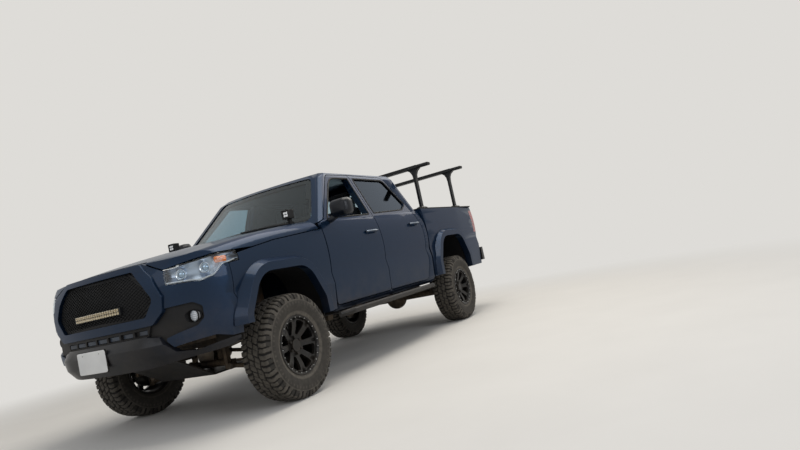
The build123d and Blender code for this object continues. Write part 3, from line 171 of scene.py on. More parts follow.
# %% [markdown]
# ## Paint
#
# Dark slate metallic basecoat under clear lacquer. Its aluminium flakes give a soft, wide highlight and
# the lacquer a sharp one on top, so the Principled shader is 0.6 metallic with a middling roughness, and
# its coat does the sharp part. Real flakes are too small to see from here; a noise at 2 mm stands for them.


# %% Metallic paint
FLAKE_MM = 2.0


def metallic_paint():
    """Two slate tones mixed by the flakes, dusted low down, under a clear coat."""
    m, spot = new_material("lacquered_metallic_basecoat")
    flakes = add(m, "TexNoise", {"Vector": spot, "Scale": per_metre(FLAKE_MM), "Detail": 1.0})
    base = add(m, "Mix", {0: flakes, 6: "#0b1828", 7: "#1a2f48"}, 2, data_type="RGBA")
    dirt = dust(m, spot, fade_low=0.45, fade_high=1.0, amount=0.10, patch_mm=160.0)
    colour = add(m, "Mix", {0: dirt, 6: base, 7: DUST}, 2, data_type="RGBA")
    rough = add(m, "MapRange", {"Value": dirt, "To Min": 0.34, "To Max": 0.85})
    look = {"Base Color": colour, "Roughness": rough, "Metallic": 0.6}
    look |= {"Coat Weight": 0.3, "Coat Roughness": 0.04}
    look |= {"Specular IOR Level": 0.2, "Specular Tint": "#a3b3c8"}
    add(m, "OutputMaterial", {"Surface": add(m, "BsdfPrincipled", look)})
    return m


# %% [markdown]
# ## Blacks
#
# Powder coat on steel bars is matt with a fine grain. Moulded plastic on the lower bumper has a faint
# leather-like grain and fades a little in the sun. Frame parts are rough and dusty. One function serves
# them: a grain that bumps the surface, a slow change of tone, and dust.


# %% Coats and plastics
GRAIN_DEPTH = 1.0 / 9.0


def grained_coat(name, dark, light, roughness, grain_mm, dirt_amount, metallic=0.0, tone_mm=220.0):
    """A moulded or powder-coated surface: its grain is grain_mm wide and a ninth of that deep."""
    m, spot = new_material(name)
    grain = add(m, "TexNoise", {"Vector": spot, "Scale": per_metre(grain_mm), "Detail": 2.0})
    tone = add(m, "TexNoise", {"Vector": spot, "Scale": per_metre(tone_mm), "Detail": 4.0})
    share = add(m, "MapRange", {"Value": tone, "From Min": 0.38, "From Max": 0.68})
    base = add(m, "Mix", {0: share, 6: dark, 7: light}, 2, data_type="RGBA")
    dirt = dust(m, spot, fade_low=0.30, fade_high=0.95, amount=dirt_amount)
    colour = add(m, "Mix", {0: dirt, 6: base, 7: DUST}, 2, data_type="RGBA")
    relief = {"Height": grain, "Distance": grain_mm / 1000.0 * GRAIN_DEPTH, "Strength": 0.6}
    look = {"Base Color": colour, "Roughness": roughness, "Metallic": metallic}
    look |= {"Normal": add(m, "Bump", relief), "Specular IOR Level": 0.5 if metallic else 0.28}
    add(m, "OutputMaterial", {"Surface": add(m, "BsdfPrincipled", look)})
    return m


# %% [markdown]
# ## Tyre rubber and seat cloth
#
# Rubber is nearly black, but ground-in dust turns the blocks of the tread a warm grey-brown, and the
# grooves are painted darker the deeper they go, as painted shade: the tyre's mesh carries a value for the
# dust and the painted shade, 1 on a block and 0 in a groove. The seats are woven polyester, whose thread
# of 0.6 mm is drawn at 3 mm so that it shows.


# %% Rubber
def dusty_rubber():
    """Black in the grooves, which is painted shade, and grey-brown with dust on the blocks: the mesh's value
    times patches of dust.
    """
    m, spot = new_material("vulcanised_tread_rubber")
    dust_and_groove_shade = add(m, "Attribute", {}, "Fac", attribute_name="dust_and_groove_shade")
    raised = add(m, "MapRange", {"Value": dust_and_groove_shade, "To Min": 0.06, "To Max": 0.62}, clamp=False)
    noise = {"Vector": spot, "Scale": per_metre(38.0), "Detail": 6.0, "Roughness": 0.65}
    cloud = add(m, "TexNoise", noise)
    contrast = {"Value": cloud, "From Min": 0.3, "From Max": 0.7, "To Min": 0.45, "To Max": 1.0}
    patches = add(m, "MapRange", contrast)
    # dust on the tread's blocks, and painted shade in its grooves, both from the mesh's value
    dust_and_shade = add(m, "Math", {0: raised, 1: patches}, operation="MULTIPLY")
    colour = add(m, "Mix", {0: dust_and_shade, 6: "#151413", 7: "#6a645b"}, 2, data_type="RGBA")
    fine = add(m, "TexNoise", {"Vector": spot, "Scale": per_metre(4.0), "Detail": 3.0})
    normal = add(m, "Bump", {"Height": fine, "Distance": 0.0005, "Strength": 0.6})
    look = {"Base Color": colour, "Roughness": 0.82, "Normal": normal, "Specular IOR Level": 0.3}
    add(m, "OutputMaterial", {"Surface": add(m, "BsdfPrincipled", look)})
    return m


# %% Cloth
THREAD_MM = 3.0


def woven_cloth():
    """Warp times weft, two waves that cross, gives the height of the weave."""
    m, spot = new_material("woven_polyester")
    threads = {"Vector": spot, "Scale": bands_per_metre(THREAD_MM)}
    warp = add(m, "TexWave", threads, "Fac", bands_direction="Y")
    weft = add(m, "TexWave", threads, "Fac", bands_direction="DIAGONAL")
    weave = add(m, "Math", {0: warp, 1: weft}, operation="MULTIPLY")
    tone = add(m, "TexNoise", {"Vector": spot, "Scale": per_metre(60.0), "Detail": 4.0})
    colour = add(m, "Mix", {0: tone, 6: "#1d1e21", 7: "#34363a"}, 2, data_type="RGBA")
    normal = add(m, "Bump", {"Height": weave, "Distance": 0.0006, "Strength": 0.7})
    look = {"Base Color": colour, "Roughness": 0.92, "Sheen Weight": 0.35, "Normal": normal}
    add(m, "OutputMaterial", {"Surface": add(m, "BsdfPrincipled", look)})
    return m


# %% [markdown]
# ## Glass, lenses and bright metal
#
# A car's glass is a tinted sheet: one mostly sees through it, and it mirrors more at flat angles. So it
# mixes a see-through and a glossy shader by Schlick's 0.04 + 0.96 (1 - cos)^5, which is the same from
# inside, where the Fresnel node would make a mirror. Lamp bowls are aluminised plastic.


# %% Glass, lenses, chrome
def sheet_glass(name, tint, mirror="#eef2f5", roughness=0.02):
    """Clear or tinted sheet, with faint smears about 160 mm across in its gloss."""
    m, spot = new_material(name)
    smears = add(m, "TexNoise", {"Vector": spot, "Scale": per_metre(160.0), "Detail": 4.0})
    haze = {"Value": smears, "From Min": 0.35, "To Min": roughness, "To Max": roughness + 0.08}
    gloss = add(m, "BsdfGlossy", {"Color": mirror, "Roughness": add(m, "MapRange", haze)})
    clear = add(m, "BsdfTransparent", {"Color": tint})
    facing = add(m, "LayerWeight", {"Blend": 0.5}, "Facing")
    steep = add(m, "Math", {0: facing, 1: 5.0}, operation="POWER")
    share = add(m, "MapRange", {"Value": steep, "To Min": 0.04, "To Max": 1.0})
    add(m, "OutputMaterial", {"Surface": add(m, "MixShader", {0: share, 1: clear, 2: gloss})})
    return m


def moulded_lens(name, deep, flute_highlight, transmission, flute_mm):
    """A coloured acrylic lens, with flutes moulded inside that are flute_mm wide, and a painted highlight in
    the lighter colour on each flute.
    """
    m, spot = new_material(name)
    bands = {"Vector": spot, "Scale": bands_per_metre(flute_mm)}
    flutes = add(m, "TexWave", bands, "Fac", bands_direction="Z")
    # each flute is striped with the lighter colour: a painted highlight
    tone = add(m, "Mix", {0: flutes, 6: deep, 7: flute_highlight}, 2, data_type="RGBA")
    normal = add(m, "Bump", {"Height": flutes, "Distance": 0.0006, "Strength": 0.5})
    look = {"Base Color": tone, "Roughness": 0.12, "Normal": normal}
    look |= {"Transmission Weight": transmission, "Coat Weight": 0.6}
    add(m, "OutputMaterial", {"Surface": add(m, "BsdfPrincipled", look)})
    return m


def bright_metal(name, hex_colour, roughness, haze=0.1):
    """Chrome, aluminised plastic or zinc: metallic, with a haze of handling marks about 20 mm across."""
    m, spot = new_material(name)
    cloud = add(m, "TexNoise", {"Vector": spot, "Scale": per_metre(20.0), "Detail": 3.0})
    marks = {"Value": cloud, "From Min": 0.3, "From Max": 0.7}
    marks |= {"To Min": roughness, "To Max": roughness + haze}
    look = {"Base Color": hex_colour, "Metallic": 1.0, "Roughness": add(m, "MapRange", marks)}
    add(m, "OutputMaterial", {"Surface": add(m, "BsdfPrincipled", look)})
    return m


# %% All finishes
# a coat's numbers are its roughness, grain in mm, dust, metallic share and width of its tones in mm
finishes = {
    # deep slate with a soft glow and a sharp line of light
    "body_paint": metallic_paint(),
    # chassis black, browned by rust and dust
    "black_frame": grained_coat("painted_frame_steel", "#141414", "#2b2521", 0.62, 3.0, 0.45, tone_mm=60.0),
    # matt black with a fine orange peel
    "black_metal": grained_coat("powder_coated_steel", "#0a0b0d", "#121417", 0.42, 2.2, 0.08),
    # satin black, a little smoother than the bars
    "black_wheel": grained_coat("satin_black_cast_alloy", "#07080a", "#0e1013", 0.36, 2.6, 0.05),
    # coarse grey-brown castings, dull with rust
    "cast_metal": grained_coat("sand_cast_iron", "#3b3835", "#54412f", 0.6, 4.0, 0.4, 0.6, 60.0),
    # bare bars with a soft shine under dust
    "steel": grained_coat("rolled_steel", "#56534f", "#6d6862", 0.45, 3.0, 0.4, 0.85, 80.0),
    # pale even grey of the radiator
    "aluminium": grained_coat("brazed_aluminium", "#7b7c7e", "#8f9092", 0.42, 2.0, 0.1, 0.9),
    "tyre": dusty_rubber(),
    # flat black of liners and trims
    "black_plastic": grained_coat("matt_polypropylene", "#090a0c", "#121316", 0.6, 2.0, 0.08),
    # bluish black, the shiniest of the plastics
    "dark_plastic": grained_coat("painted_bumper_plastic", "#090d14", "#0f141d", 0.32, 2.0, 0.06),
    "seat_fabric": woven_cloth(),
    # nearly clear, faintly blue; the rear windows are smoky
    "clear_glass": sheet_glass("laminated_glass", "#cfdde3"),
    "tinted_glass": sheet_glass("tinted_toughened_glass", "#2b3238", "#93a0b2"),
    "lamp_lens": sheet_glass("clear_polycarbonate", "#eef2f4", "#f4f7fa", 0.03),
    # deep red, with a painted highlight on each flute
    "red_lens": moulded_lens("red_acrylic", "#7c060b", "#b0161b", transmission=0.15, flute_mm=9.0),
}
# mirror-bright lamp bowls, dull silver handles, grey fastenings
chrome = bright_metal("aluminised_reflector", "#d9dde2", roughness=0.10)
satin_handle = bright_metal("satin_painted_handle", "#7d8794", roughness=0.3)
zinc = bright_metal("zinc_plated_steel", "#a8a9a8", roughness=0.30)
# orange marker lens, and the cream lenses of the lamp bar; each lens's lighter colour is a painted highlight
# on its flutes
amber = moulded_lens("amber_acrylic", "#b4500a", "#e07c1c", transmission=0.1, flute_mm=6.0)
warm_optic = moulded_lens("warm_silicone_optic", "#a8926a", "#e5d6b0", transmission=0.25, flute_mm=9.0)
# dull black rubber, hard white enamel, and the black print at the windscreen's edge
seal_rubber = grained_coat("extruded_seal_rubber", "#08090a", "#101112", 0.55, 2.0, 0.05)
plate_enamel = grained_coat("baked_white_enamel", "#d6d7d6", "#e6e6e3", 0.35, 6.0, 0.12)
frit = grained_coat("ceramic_frit", "#040405", "#08080a", 0.55, 2.0, 0.0)
for row in frame["record"]["subparts"]:
    mesh = nodes[row["node"]].data
    mesh.materials.clear()
    mesh.materials.append(finishes[row["material_slot"]])
print("finishes", len(finishes))

# %% [markdown]
# ## Floor and light
#
# A pale seamless floor, a broad softbox overhead, one to the camera's side, one ahead, and one behind for
# the bright lines along the shoulders, flares and roof. Diffuse light sees a modest grey world, and the
# camera, gloss and glass see a pale backdrop.


# %% Floor, lamps and world
BACKDROP = "#dedcd8"
FLOOR_HALF = 60.0


def seen_directly(owner):
    """1 for camera, gloss and glass rays, which are to see the pale backdrop, and 0 for all other rays."""
    seen = add(owner, "LightPath", {}, "Is Camera Ray")
    for ray in ("Is Glossy Ray", "Is Transmission Ray"):
        seen = add(owner, "Math", {0: seen, 1: add(owner, "LightPath", {}, ray)}, operation="MAXIMUM")
    return seen


def studio_floor():
    """Painted floor near the truck, which takes its shadow; it fades into the backdrop further out."""
    m, spot = new_material("pale_floor_paint")
    cloud = add(m, "TexNoise", {"Vector": spot, "Scale": per_metre(600.0), "Detail": 3.0})
    colour = add(m, "Mix", {0: cloud, 6: "#d3d0ca", 7: "#dbd8d2"}, 2, data_type="RGBA")
    painted = add(m, "BsdfPrincipled", {"Base Color": colour, "Roughness": 0.9})
    reach = add(m, "VectorMath", {0: spot}, "Value", operation="LENGTH")
    limits = {"Value": reach, "From Min": 3.0, "From Max": 7.0}
    far = add(m, "MapRange", limits, interpolation_type="SMOOTHSTEP")
    share = add(m, "Math", {0: far, 1: seen_directly(m)}, operation="MULTIPLY")
    glow = add(m, "Emission", {"Color": BACKDROP, "Strength": 1.0})
    add(m, "OutputMaterial", {"Surface": add(m, "MixShader", {0: share, 1: painted, 2: glow})})
    return m


corners = [(x * FLOOR_HALF, y * FLOOR_HALF, 0) for x, y in ((-1, -1), (1, -1), (1, 1), (-1, 1))]
floor_mesh = bpy.data.meshes.new("floor")
floor_mesh.from_pydata(corners, [], [(0, 1, 2, 3)])
floor_mesh.materials.append(studio_floor())
placed("floor", floor_mesh)


def softbox(name, stands_at, aims_at, width, height, watts, hex_colour):
    """A rectangular lamp that looks from one point towards another."""
    data = bpy.data.lights.new(name, "AREA")
    data.shape = "RECTANGLE"
    data.size = width
    data.size_y = height
    data.energy = watts
    data.color = linear(hex_colour)[:3]
    way = Vector(aims_at) - Vector(stands_at)
    aim = way.to_track_quat("-Z", "Y").to_matrix().to_4x4()
    placed(name, data).matrix_world = Matrix.Translation(Vector(stands_at)) @ aim


softbox("overhead", (-0.5, 1.5, 6.5), (-0.2, 0.2, 0.8), 7.0, 4.0, 300, "#fffaf2")
softbox("left_fill", (2.5, 8.5, 3.4), (0.2, 0, 0.8), 6.0, 3.0, 190, "#eef4ff")
softbox("rear_rim", (-7.0, 0.8, 5.5), (-0.5, 0, 1.2), 5.0, 3.0, 90, "#fff8ee")
softbox("front_fill", (9.0, 0.5, 4.5), (1.5, 0, 0.8), 7.0, 4.0, 90, "#f4f7ff")

world = bpy.data.worlds.new("studio")
world.use_nodes = True
world.node_tree.nodes.clear()
around = add(world, "Background", {"Color": "#f1f3f6", "Strength": 0.45})
backdrop = add(world, "Background", {"Color": BACKDROP, "Strength": 1.0})
mixed = add(world, "MixShader", {0: seen_directly(world), 1: around, 2: backdrop})
add(world, "OutputWorld", {"Surface": mixed})
bpy.context.scene.world = world
bpy.context.scene.view_settings.view_transform = "Standard"
print("floor and lamps ready")

# %% [markdown]
# ## Dressing the sheet-metal panels
#
# A CAD mesh is loose triangles with knife edges. A pressed panel turns a small radius at each edge, which
# catches a thin line of light. So each visible panel gets a copy with its points merged, its flat regions
# joined, its edges rounded and its faces smoothed, and the copy stands for the CAD node.


# %% Dressed copies
MERGE = 2e-5
FLAT_ANGLE = math.radians(0.6)
EDGE_ANGLE = 32.0
EDGE_SEGMENTS = 2


def shaded(mesh, sharp_degrees):
    """Smooth faces all over, with a hard line only where neighbours turn more than the angle."""
    mesh.polygons.foreach_set("use_smooth", np.ones(len(mesh.polygons), bool))
    mesh.set_sharp_from_angle(angle=math.radians(sharp_degrees))


def dressed(node_name, radius_mm):
    """A merged, bevelled and smoothed copy of a CAD node, riding on the node's own body."""
    source = nodes[node_name]
    copy = source.data.copy()
    shape = bmesh.new()
    shape.from_mesh(copy)
    bmesh.ops.remove_doubles(shape, verts=shape.verts, dist=MERGE)
    bmesh.ops.dissolve_limit(
        shape, angle_limit=FLAT_ANGLE, verts=shape.verts, edges=shape.edges, delimit={"NORMAL"}
    )
    shape.to_mesh(copy)
    shape.free()
    shaded(copy, EDGE_ANGLE)
    piece = placed(node_name + "_dressed", copy)
    if radius_mm > 0:
        bevel = piece.modifiers.new("edge_radius", "BEVEL")
        bevel.width = radius_mm / 1000.0
        bevel.segments = EDGE_SEGMENTS
        bevel.limit_method = "ANGLE"
        bevel.angle_limit = math.radians(EDGE_ANGLE)
        bevel.harden_normals = True
        bevel.use_clamp_overlap = True
    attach(piece, source["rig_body"])
    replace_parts(piece, node_name)


CORNERS = ("front_left", "front_right", "rear_left", "rear_right")
# edge radius in mm; 0 leaves the edges as the solid has them
PANELS = {
    "cab_shell": 2.0,
    **{f"door_{corner}": 2.0 for corner in CORNERS},
    "hood": 2.5,
    "front_fenders": 1.5,
    "bumper_cover": 2.0,
    "grille_surround": 5.0,
    "fender_flares": 3.0,
    "bed_sides": 2.5,
    "tailgate": 3.0,
    "bumper_valance": 4.0,
    "rear_bumper": 5.0,
    "rock_sliders": 0.0,
    "load_rack": 4.0,
    "ditch_lights": 3.0,
    "steering_wheel": 0.0,
    **{f"rim_{corner}": 0.0 for corner in CORNERS},
}
for node_name, radius in PANELS.items():
    dressed(node_name, radius)
print("dressed panels", len(PANELS))

# %% [markdown]
# ## How new pieces are made
#
# Most small pieces are stacks of rings: one at each station of a turned part's profile, at each point of
# a tube's path, or at each level of a moulded block. Neighbouring rings join into quads, and a flat face
# closes each end.


# %% Ringed parts
AHEAD = (1.0, 0.0, 0.0)
SIDE = (0.0, 1.0, 0.0)
ABOVE = (0.0, 0.0, 1.0)
FACING_AHEAD = (SIDE, ABOVE, AHEAD)


def ringed(rings, closed=False):
    """Points and faces of stacked rings: point k of a ring joins point k and k+1 of the next one."""
    rings = np.asarray(rings, float)
    levels, count = rings.shape[:2]
    level, k = np.meshgrid(np.arange(levels if closed else levels - 1), np.arange(count), indexing="ij")
    above = (level + 1) % levels
    beside = (k + 1) % count
    quads = [level * count + k, level * count + beside, above * count + beside, above * count + k]
    faces = [np.stack(quads, axis=-1).reshape(-1, 4)]
    if not closed:
        faces.append(np.arange(count)[None, ::-1])
        faces.append(np.arange(count)[None] + (levels - 1) * count)
    return rings.reshape(-1, 3), faces


def unit(vector):
    """The vector over its own length."""
    return np.asarray(vector, float) / np.linalg.norm(vector)


def unit_rows(vectors):
    """Each row over its own length."""
    return vectors / np.linalg.norm(vectors, axis=1, keepdims=True)


def turned(profile, centre, axis, count=24, closed=False):
    """A turned part in mm: centre + w axis + r (cos a side + sin a up), for each (w, r)."""
    axis = unit(axis)
    side = unit(np.cross(ABOVE if abs(axis[2]) < 0.9 else AHEAD, axis))
    up = np.cross(axis, side)
    a = np.linspace(0, 2 * np.pi, count, endpoint=False)[:, None]
    w, r = (np.asarray(profile, float) / 1000.0).T[:, :, None, None]
    rings = np.asarray(centre, float) + w * axis + r * (np.cos(a) * side + np.sin(a) * up)
    return ringed(rings, closed)


def tube(path, radius, sides=6, flat=1.0, closed=False):
    """A tube: a circle of the radius across the path at each point, squeezed one way by flat."""
    path = np.asarray(path, float)
    way = np.roll(path, -1, axis=0) - np.roll(path, 1, axis=0) if closed else np.gradient(path, axis=0)
    way = unit_rows(way)
    helper = np.eye(3)[np.argmin(np.abs(way).max(axis=0))]
    side = unit_rows(np.cross(way, helper))
    up = np.cross(side, way)
    a = np.linspace(0, 2 * np.pi, sides, endpoint=False)[None, :, None]
    rings = path[:, None] + radius * (np.cos(a) * side[:, None] + flat * np.sin(a) * up[:, None])
    return ringed(rings, closed)


def along(points, step):
    """Points at even steps along the straight runs between the given ones."""
    points = np.asarray(points, float)
    run = np.r_[0.0, np.cumsum(np.linalg.norm(np.diff(points, axis=0), axis=1))]
    at = np.linspace(0.0, run[-1], max(2, int(run[-1] / step) + 1))
    return np.stack([np.interp(at, run, column) for column in points.T], axis=1)


def rounded(width, height, radius, steps=4):
    """A rectangle with round corners: corner centre + radius (cos a, sin a), a quarter turn at each."""
    a = (np.arange(4)[:, None] * np.pi / 2 + np.linspace(0, np.pi / 2, steps + 1)).ravel()
    signs = np.repeat([(1, 1), (-1, 1), (-1, -1), (1, -1)], steps + 1, axis=0)
    centres = signs * (width / 2 - radius, height / 2 - radius)
    return centres + radius * np.stack([np.cos(a), np.sin(a)], axis=1)


def moulded(width, height, radius, levels, origin, ways=FACING_AHEAD, closed=False):
    """A moulded block in mm: at each (stand, inset) its round rectangle, stood off and set in. The ways
    are the block's own across, up and out."""
    across, up, out = np.array(ways, float)
    rings = []
    for stand, inset in levels:
        flat = rounded(width - 2 * inset, height - 2 * inset, max(radius - inset, 0.5)) / 1000.0
        rings.append(origin + flat @ np.array([across, up]) + stand / 1000.0 * out)
    return ringed(rings, closed)


print("ring helpers ready, a rounded square has", len(rounded(1, 1, 0.2)), "points")


# %% From arrays to pieces
# a triangle seen edge on has no area, and a share may fall this little short of 0
NO_AREA = 1e-12
SLACK = 1e-6


def make_piece(name, parts, finish, body="chassis", sharp=35.0):
    """One object from (points, faces) parts, turned outwards. A finish may be given by its name in the
    finishes.
    """
    points, faces, start = [], [], 0
    for part_points, part_faces in parts:
        points.append(part_points)
        for array in part_faces:
            faces += (array + start).tolist()
        start += len(part_points)
    mesh = bpy.data.meshes.new(name)
    mesh.from_pydata(np.concatenate(points).tolist(), [], faces)
    shape = bmesh.new()
    shape.from_mesh(mesh)
    bmesh.ops.recalc_face_normals(shape, faces=shape.faces)
    shape.to_mesh(mesh)
    shape.free()
    shaded(mesh, sharp)
    piece = placed(name, mesh)
    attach(piece, body)
    if isinstance(finish, str):
        finish = finishes[finish]
    mesh.materials.append(finish)
    return piece


def mirrored(part):
    """The same part on the truck's right: y becomes -y."""
    return part[0] * (1.0, -1.0, 1.0), part[1]


def both_sides(*parts):
    """The parts, and the same ones on the right."""
    return [*parts, *(mirrored(part) for part in parts)]


def repeated(part, offsets):
    """The same small part at many places: its points moved by each offset, its faces counted on."""
    points, faces = part
    offsets = np.asarray(offsets, float)
    shift = np.arange(len(offsets))[:, None, None] * len(points)
    moved = (points[None] + offsets[:, None]).reshape(-1, 3)
    return moved, [(array[None] + shift).reshape(-1, array.shape[1]) for array in faces]


def vertex_array(mesh, field="co"):
    """The points of a mesh, or its normals, as one array."""
    values = np.empty(len(mesh.vertices) * 3)
    mesh.vertices.foreach_get(field, values)
    return values.reshape(-1, 3)


def crossed(a, b):
    """The cross product of flat vectors."""
    return a[..., 0] * b[..., 1] - a[..., 1] * b[..., 0]


def meeting(node_name, axis, spots, missing):
    """Where lines along an axis meet a CAD node, furthest out: inside a triangle no share is below 0."""
    mesh = nodes[node_name].data
    mesh.calc_loop_triangles()
    picks = np.empty(len(mesh.loop_triangles) * 3, int)
    mesh.loop_triangles.foreach_get("vertices", picks)
    triangles = vertex_array(mesh)[picks.reshape(-1, 3)]
    flat = [i for i in range(3) if i != axis]
    a, b, c = (triangles[:, i][:, flat][None] for i in range(3))
    p = np.asarray(spots, float)[:, None]
    e, f, g = b - a, c - a, p - a
    area = crossed(e, f)
    area = np.where(np.abs(area) < NO_AREA, np.nan, area)
    u = crossed(g, f) / area
    v = crossed(e, g) / area
    inside = (u >= -SLACK) & (v >= -SLACK) & (u + v <= 1 + SLACK)
    high = triangles[:, :, axis]
    place = high[None, :, 0] + u * (high[:, 1] - high[:, 0])[None] + v * (high[:, 2] - high[:, 0])[None]
    best = np.where(inside, place, -np.inf).max(axis=1)
    return np.where(np.isfinite(best), best, missing)


def face_x(node_name, flat):
    """The x of a node's front face at each (y, z) in metres; where a line misses, its neighbours fill in."""
    x = meeting(node_name, 0, flat, np.nan)
    good = np.isfinite(x)
    return np.interp(np.arange(len(x)), np.flatnonzero(good), x[good])


print("hood centre stands at", float(meeting("hood", 2, [(2.0, 0.0)], 0.0)[0]))

# %% [markdown]
# ## Tyres
#
# An all-terrain tyre has two rows of interlocking blocks in the middle and heavy lugs at each shoulder,
# 28 round this one as on the plain solid. A closed section is swept round the axle, and a depth field
# pushes it in along its own normal where a groove runs. Ribs and short bars give the sidewall its relief.

# %% Tyre surface
AXLE_Z = 0.390
FRONT_AXLE_X = 1.761
REAR_AXLE_X = -1.475
HALF_TRACK = 0.836
WHEELS = dict(zip(CORNERS, [(x, side) for x in (FRONT_AXLE_X, REAR_AXLE_X) for side in (1.0, -1.0)]))
PITCHES = 28
STEPS_PER_PITCH = 22
TYRE_RADIUS = 390.0
PITCH_MM = 2 * np.pi * TYRE_RADIUS / PITCHES
# the section in mm, as (across, out) points
SIDEWALL = [(104.5, 212.3), (113.0, 232.0), (124.0, 258.0), (131.0, 282.0), (133.5, 305.0), (132.5, 326.0)]
SHOULDER = [(132.5, 326.0), (129.0, 343.0), (125.0, 358.0), (120.0, 371.0), (110.0, 382.0), (97.0, 387.0)]
CROWN = [(97.0, 387.0), (78.0, 389.3), (40.0, TYRE_RADIUS), (0.0, TYRE_RADIUS)]
INNER_WALL = [(-96.0, 214.0), (-104.0, 300.0), (-90.0, 362.0), (90.0, 362.0), (104.0, 300.0), (96.0, 214.0)]
# mm out from the axle: where the sidewall ends, and where lugs, notches and the tread's blocks begin
WALL_ENDS = 330.0
LUGS_FROM = 338.0
NOTCHES_FROM = 352.0
BLOCKS_FROM = 372.0
LUG_STEPS_TO = 374.0
# mm from the tread's middle
LUGS_START = 50.0
SIPES_END = 44.0
NOTCHES_START = 60.0
# the slanting cuts run on by one pitch in this many mm across
TREAD_SLANT = 170.0
# the sidewall's ribs and bars in mm out, and the mm round between two bars
RIBS_AT = (246.0, 322.0)
BARS_FROM, BARS_TO = 300.0, 317.0
BAR_SPACING = 33.0


def fraction(t):
    """What is left of t above the whole number."""
    return t - np.floor(t)


def zigzag(t):
    """A wave of straight runs between -1 and 1, one to a pitch."""
    return np.abs(4.0 * fraction(t) - 2.0) - 1.0


def groove(distance, half_width, depth, edge=2.0):
    """The depth where the distance from a groove's middle is under its half width, with sloped walls."""
    return depth * np.clip((half_width - distance) / edge + 0.5, 0.0, 1.0)


def tread_depth(t, w, r):
    """Depth in mm at pitch t, w mm across and r mm out: the deepest of all grooves that pass there."""
    side = np.sign(w)
    across = np.abs(w)
    # for each groove: the distance from its middle, its half width and its depth, in mm
    zig = groove(np.abs(w - 7.0 * zigzag(t)), 4.5, 10.0)
    ring_groove = groove(np.abs(across - LUGS_START - 6.0 * zigzag(t + 0.3 * side)), 5.0, 11.0)
    slant = fraction(t + w / TREAD_SLANT + 0.25 * side)
    cross_cut = groove(np.abs(slant - 0.5) * PITCH_MM, 4.6, 9.0) * (across < LUGS_START)
    sipe = groove(np.abs(slant - 0.05) * PITCH_MM, 2.0, 4.0) * (across < SIPES_END)
    middle = np.maximum.reduce([zig, ring_groove, cross_cut, sipe]) * (r > BLOCKS_FROM)
    phase = fraction(t + 0.25 * side + 0.06 * np.sin((across - 60.0) / 20.0))
    gap = groove(np.abs(phase - 0.5) * PITCH_MM, 7.5, 12.0, 4.0) * (across > LUGS_START) * (r > LUGS_FROM)
    notch = groove(np.abs(fraction(phase + 0.5) - 0.5) * PITCH_MM, 4.2, 9.0, 3.0)
    notch = notch * (across > NOTCHES_START) * (r > NOTCHES_FROM)
    every_other = fraction(t / 2.0 + 0.12 * side) > 0.5
    step_in = 2.2 * every_other * (r > LUGS_FROM) * (r < LUG_STEPS_TO)
    return np.maximum.reduce([middle, gap, notch, step_in])


def sidewall_height(t, r):
    """How far the sidewall stands out in mm: two round ribs, and short bars in the band between them."""
    ribs = sum(groove(np.abs(r - at), 2.5, 0.9) for at in RIBS_AT)
    bars = groove(np.abs(fraction(2.0 * t) - 0.5) * BAR_SPACING, 5.0, 0.8) * (r > BARS_FROM) * (r < BARS_TO)
    return np.maximum(ribs, bars)


# %% Four tyres
SECTION_MIDDLE = (0.0, 300.0)
# painted shade in a groove is at its darkest from this depth on, in mm
FULL_SHADE_DEPTH = 3.0
RIM_DUST_TO = 252.0
RIM_DUST_FADE = 14.0


def tyre_section():
    """The closed section, the way into the rubber at each point, and which points lie on the outside."""
    # the points stand closer where the tread is cut
    half = np.concatenate([along(SIDEWALL, 9.0)[:-1], along(SHOULDER, 5.0)[:-1], along(CROWN, 4.6)])
    outer = np.concatenate([half, (half * (-1.0, 1.0))[-2::-1]])
    section = np.concatenate([outer, along(INNER_WALL, 60.0)])
    way = np.gradient(section, axis=0)
    normal = unit_rows(np.stack([-way[:, 1], way[:, 0]], axis=1))
    normal *= -np.sign(np.sum(normal * (section - SECTION_MIDDLE), axis=1, keepdims=True))
    return section, normal, np.arange(len(section)) < len(outer)


def tyre(name, x, side):
    """The section swept round the axle, sunk by the tread's depth and raised by the sidewall's height."""
    section, inward, outside = tyre_section()
    steps = PITCHES * STEPS_PER_PITCH
    angle = np.arange(steps)[:, None] * 2 * np.pi / steps
    t = angle * PITCHES / (2 * np.pi)
    w, r = section[None, :, 0], section[None, :, 1]
    depth = tread_depth(t, w, r) * outside * (r > WALL_ENDS)
    height = sidewall_height(t, r) * outside * (r < WALL_ENDS)
    w = w + inward[None, :, 0] * (depth - height)
    r = r + inward[None, :, 1] * (depth - height)
    centre = (x, side * HALF_TRACK, AXLE_Z)
    rings = np.stack([r * np.cos(angle), side * w, r * np.sin(angle)], axis=-1) / 1000.0 + centre
    piece = make_piece(f"tyre_{name}_tread", [ringed(rings, closed=True)], "tyre", f"{name}_wheel")
    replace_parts(piece, f"tyre_{name}")
    rim_dust = np.clip((RIM_DUST_TO - r) / RIM_DUST_FADE, 0.0, 1.0) * (w > 0.0)
    # a middling tone on the sidewall, lighter on its relief and lightest beside the rim
    wall_tone = 0.42 + 0.5 * height + 0.9 * rim_dust
    # on the tread: 1 on a block, less with a groove's depth, which is painted shade in the grooves
    tread_dust_and_shade = 1.0 - np.clip(depth / FULL_SHADE_DEPTH, 0.0, 1.0)
    dust_and_groove_shade = np.where(r > WALL_ENDS, tread_dust_and_shade, wall_tone)
    values = piece.data.attributes.new("dust_and_groove_shade", "FLOAT", "POINT")
    values.data.foreach_set("value", (dust_and_groove_shade * outside).ravel().astype(np.float32))
    return len(piece.data.polygons)


print("tyre faces", {name: tyre(name, x, side) for name, (x, side) in WHEELS.items()})

# %% [markdown]
# ## Wheel bolts and nuts
#
# Small bolts hold the rim's outer ring, bright against the black, and six nuts hold the wheel to its hub.

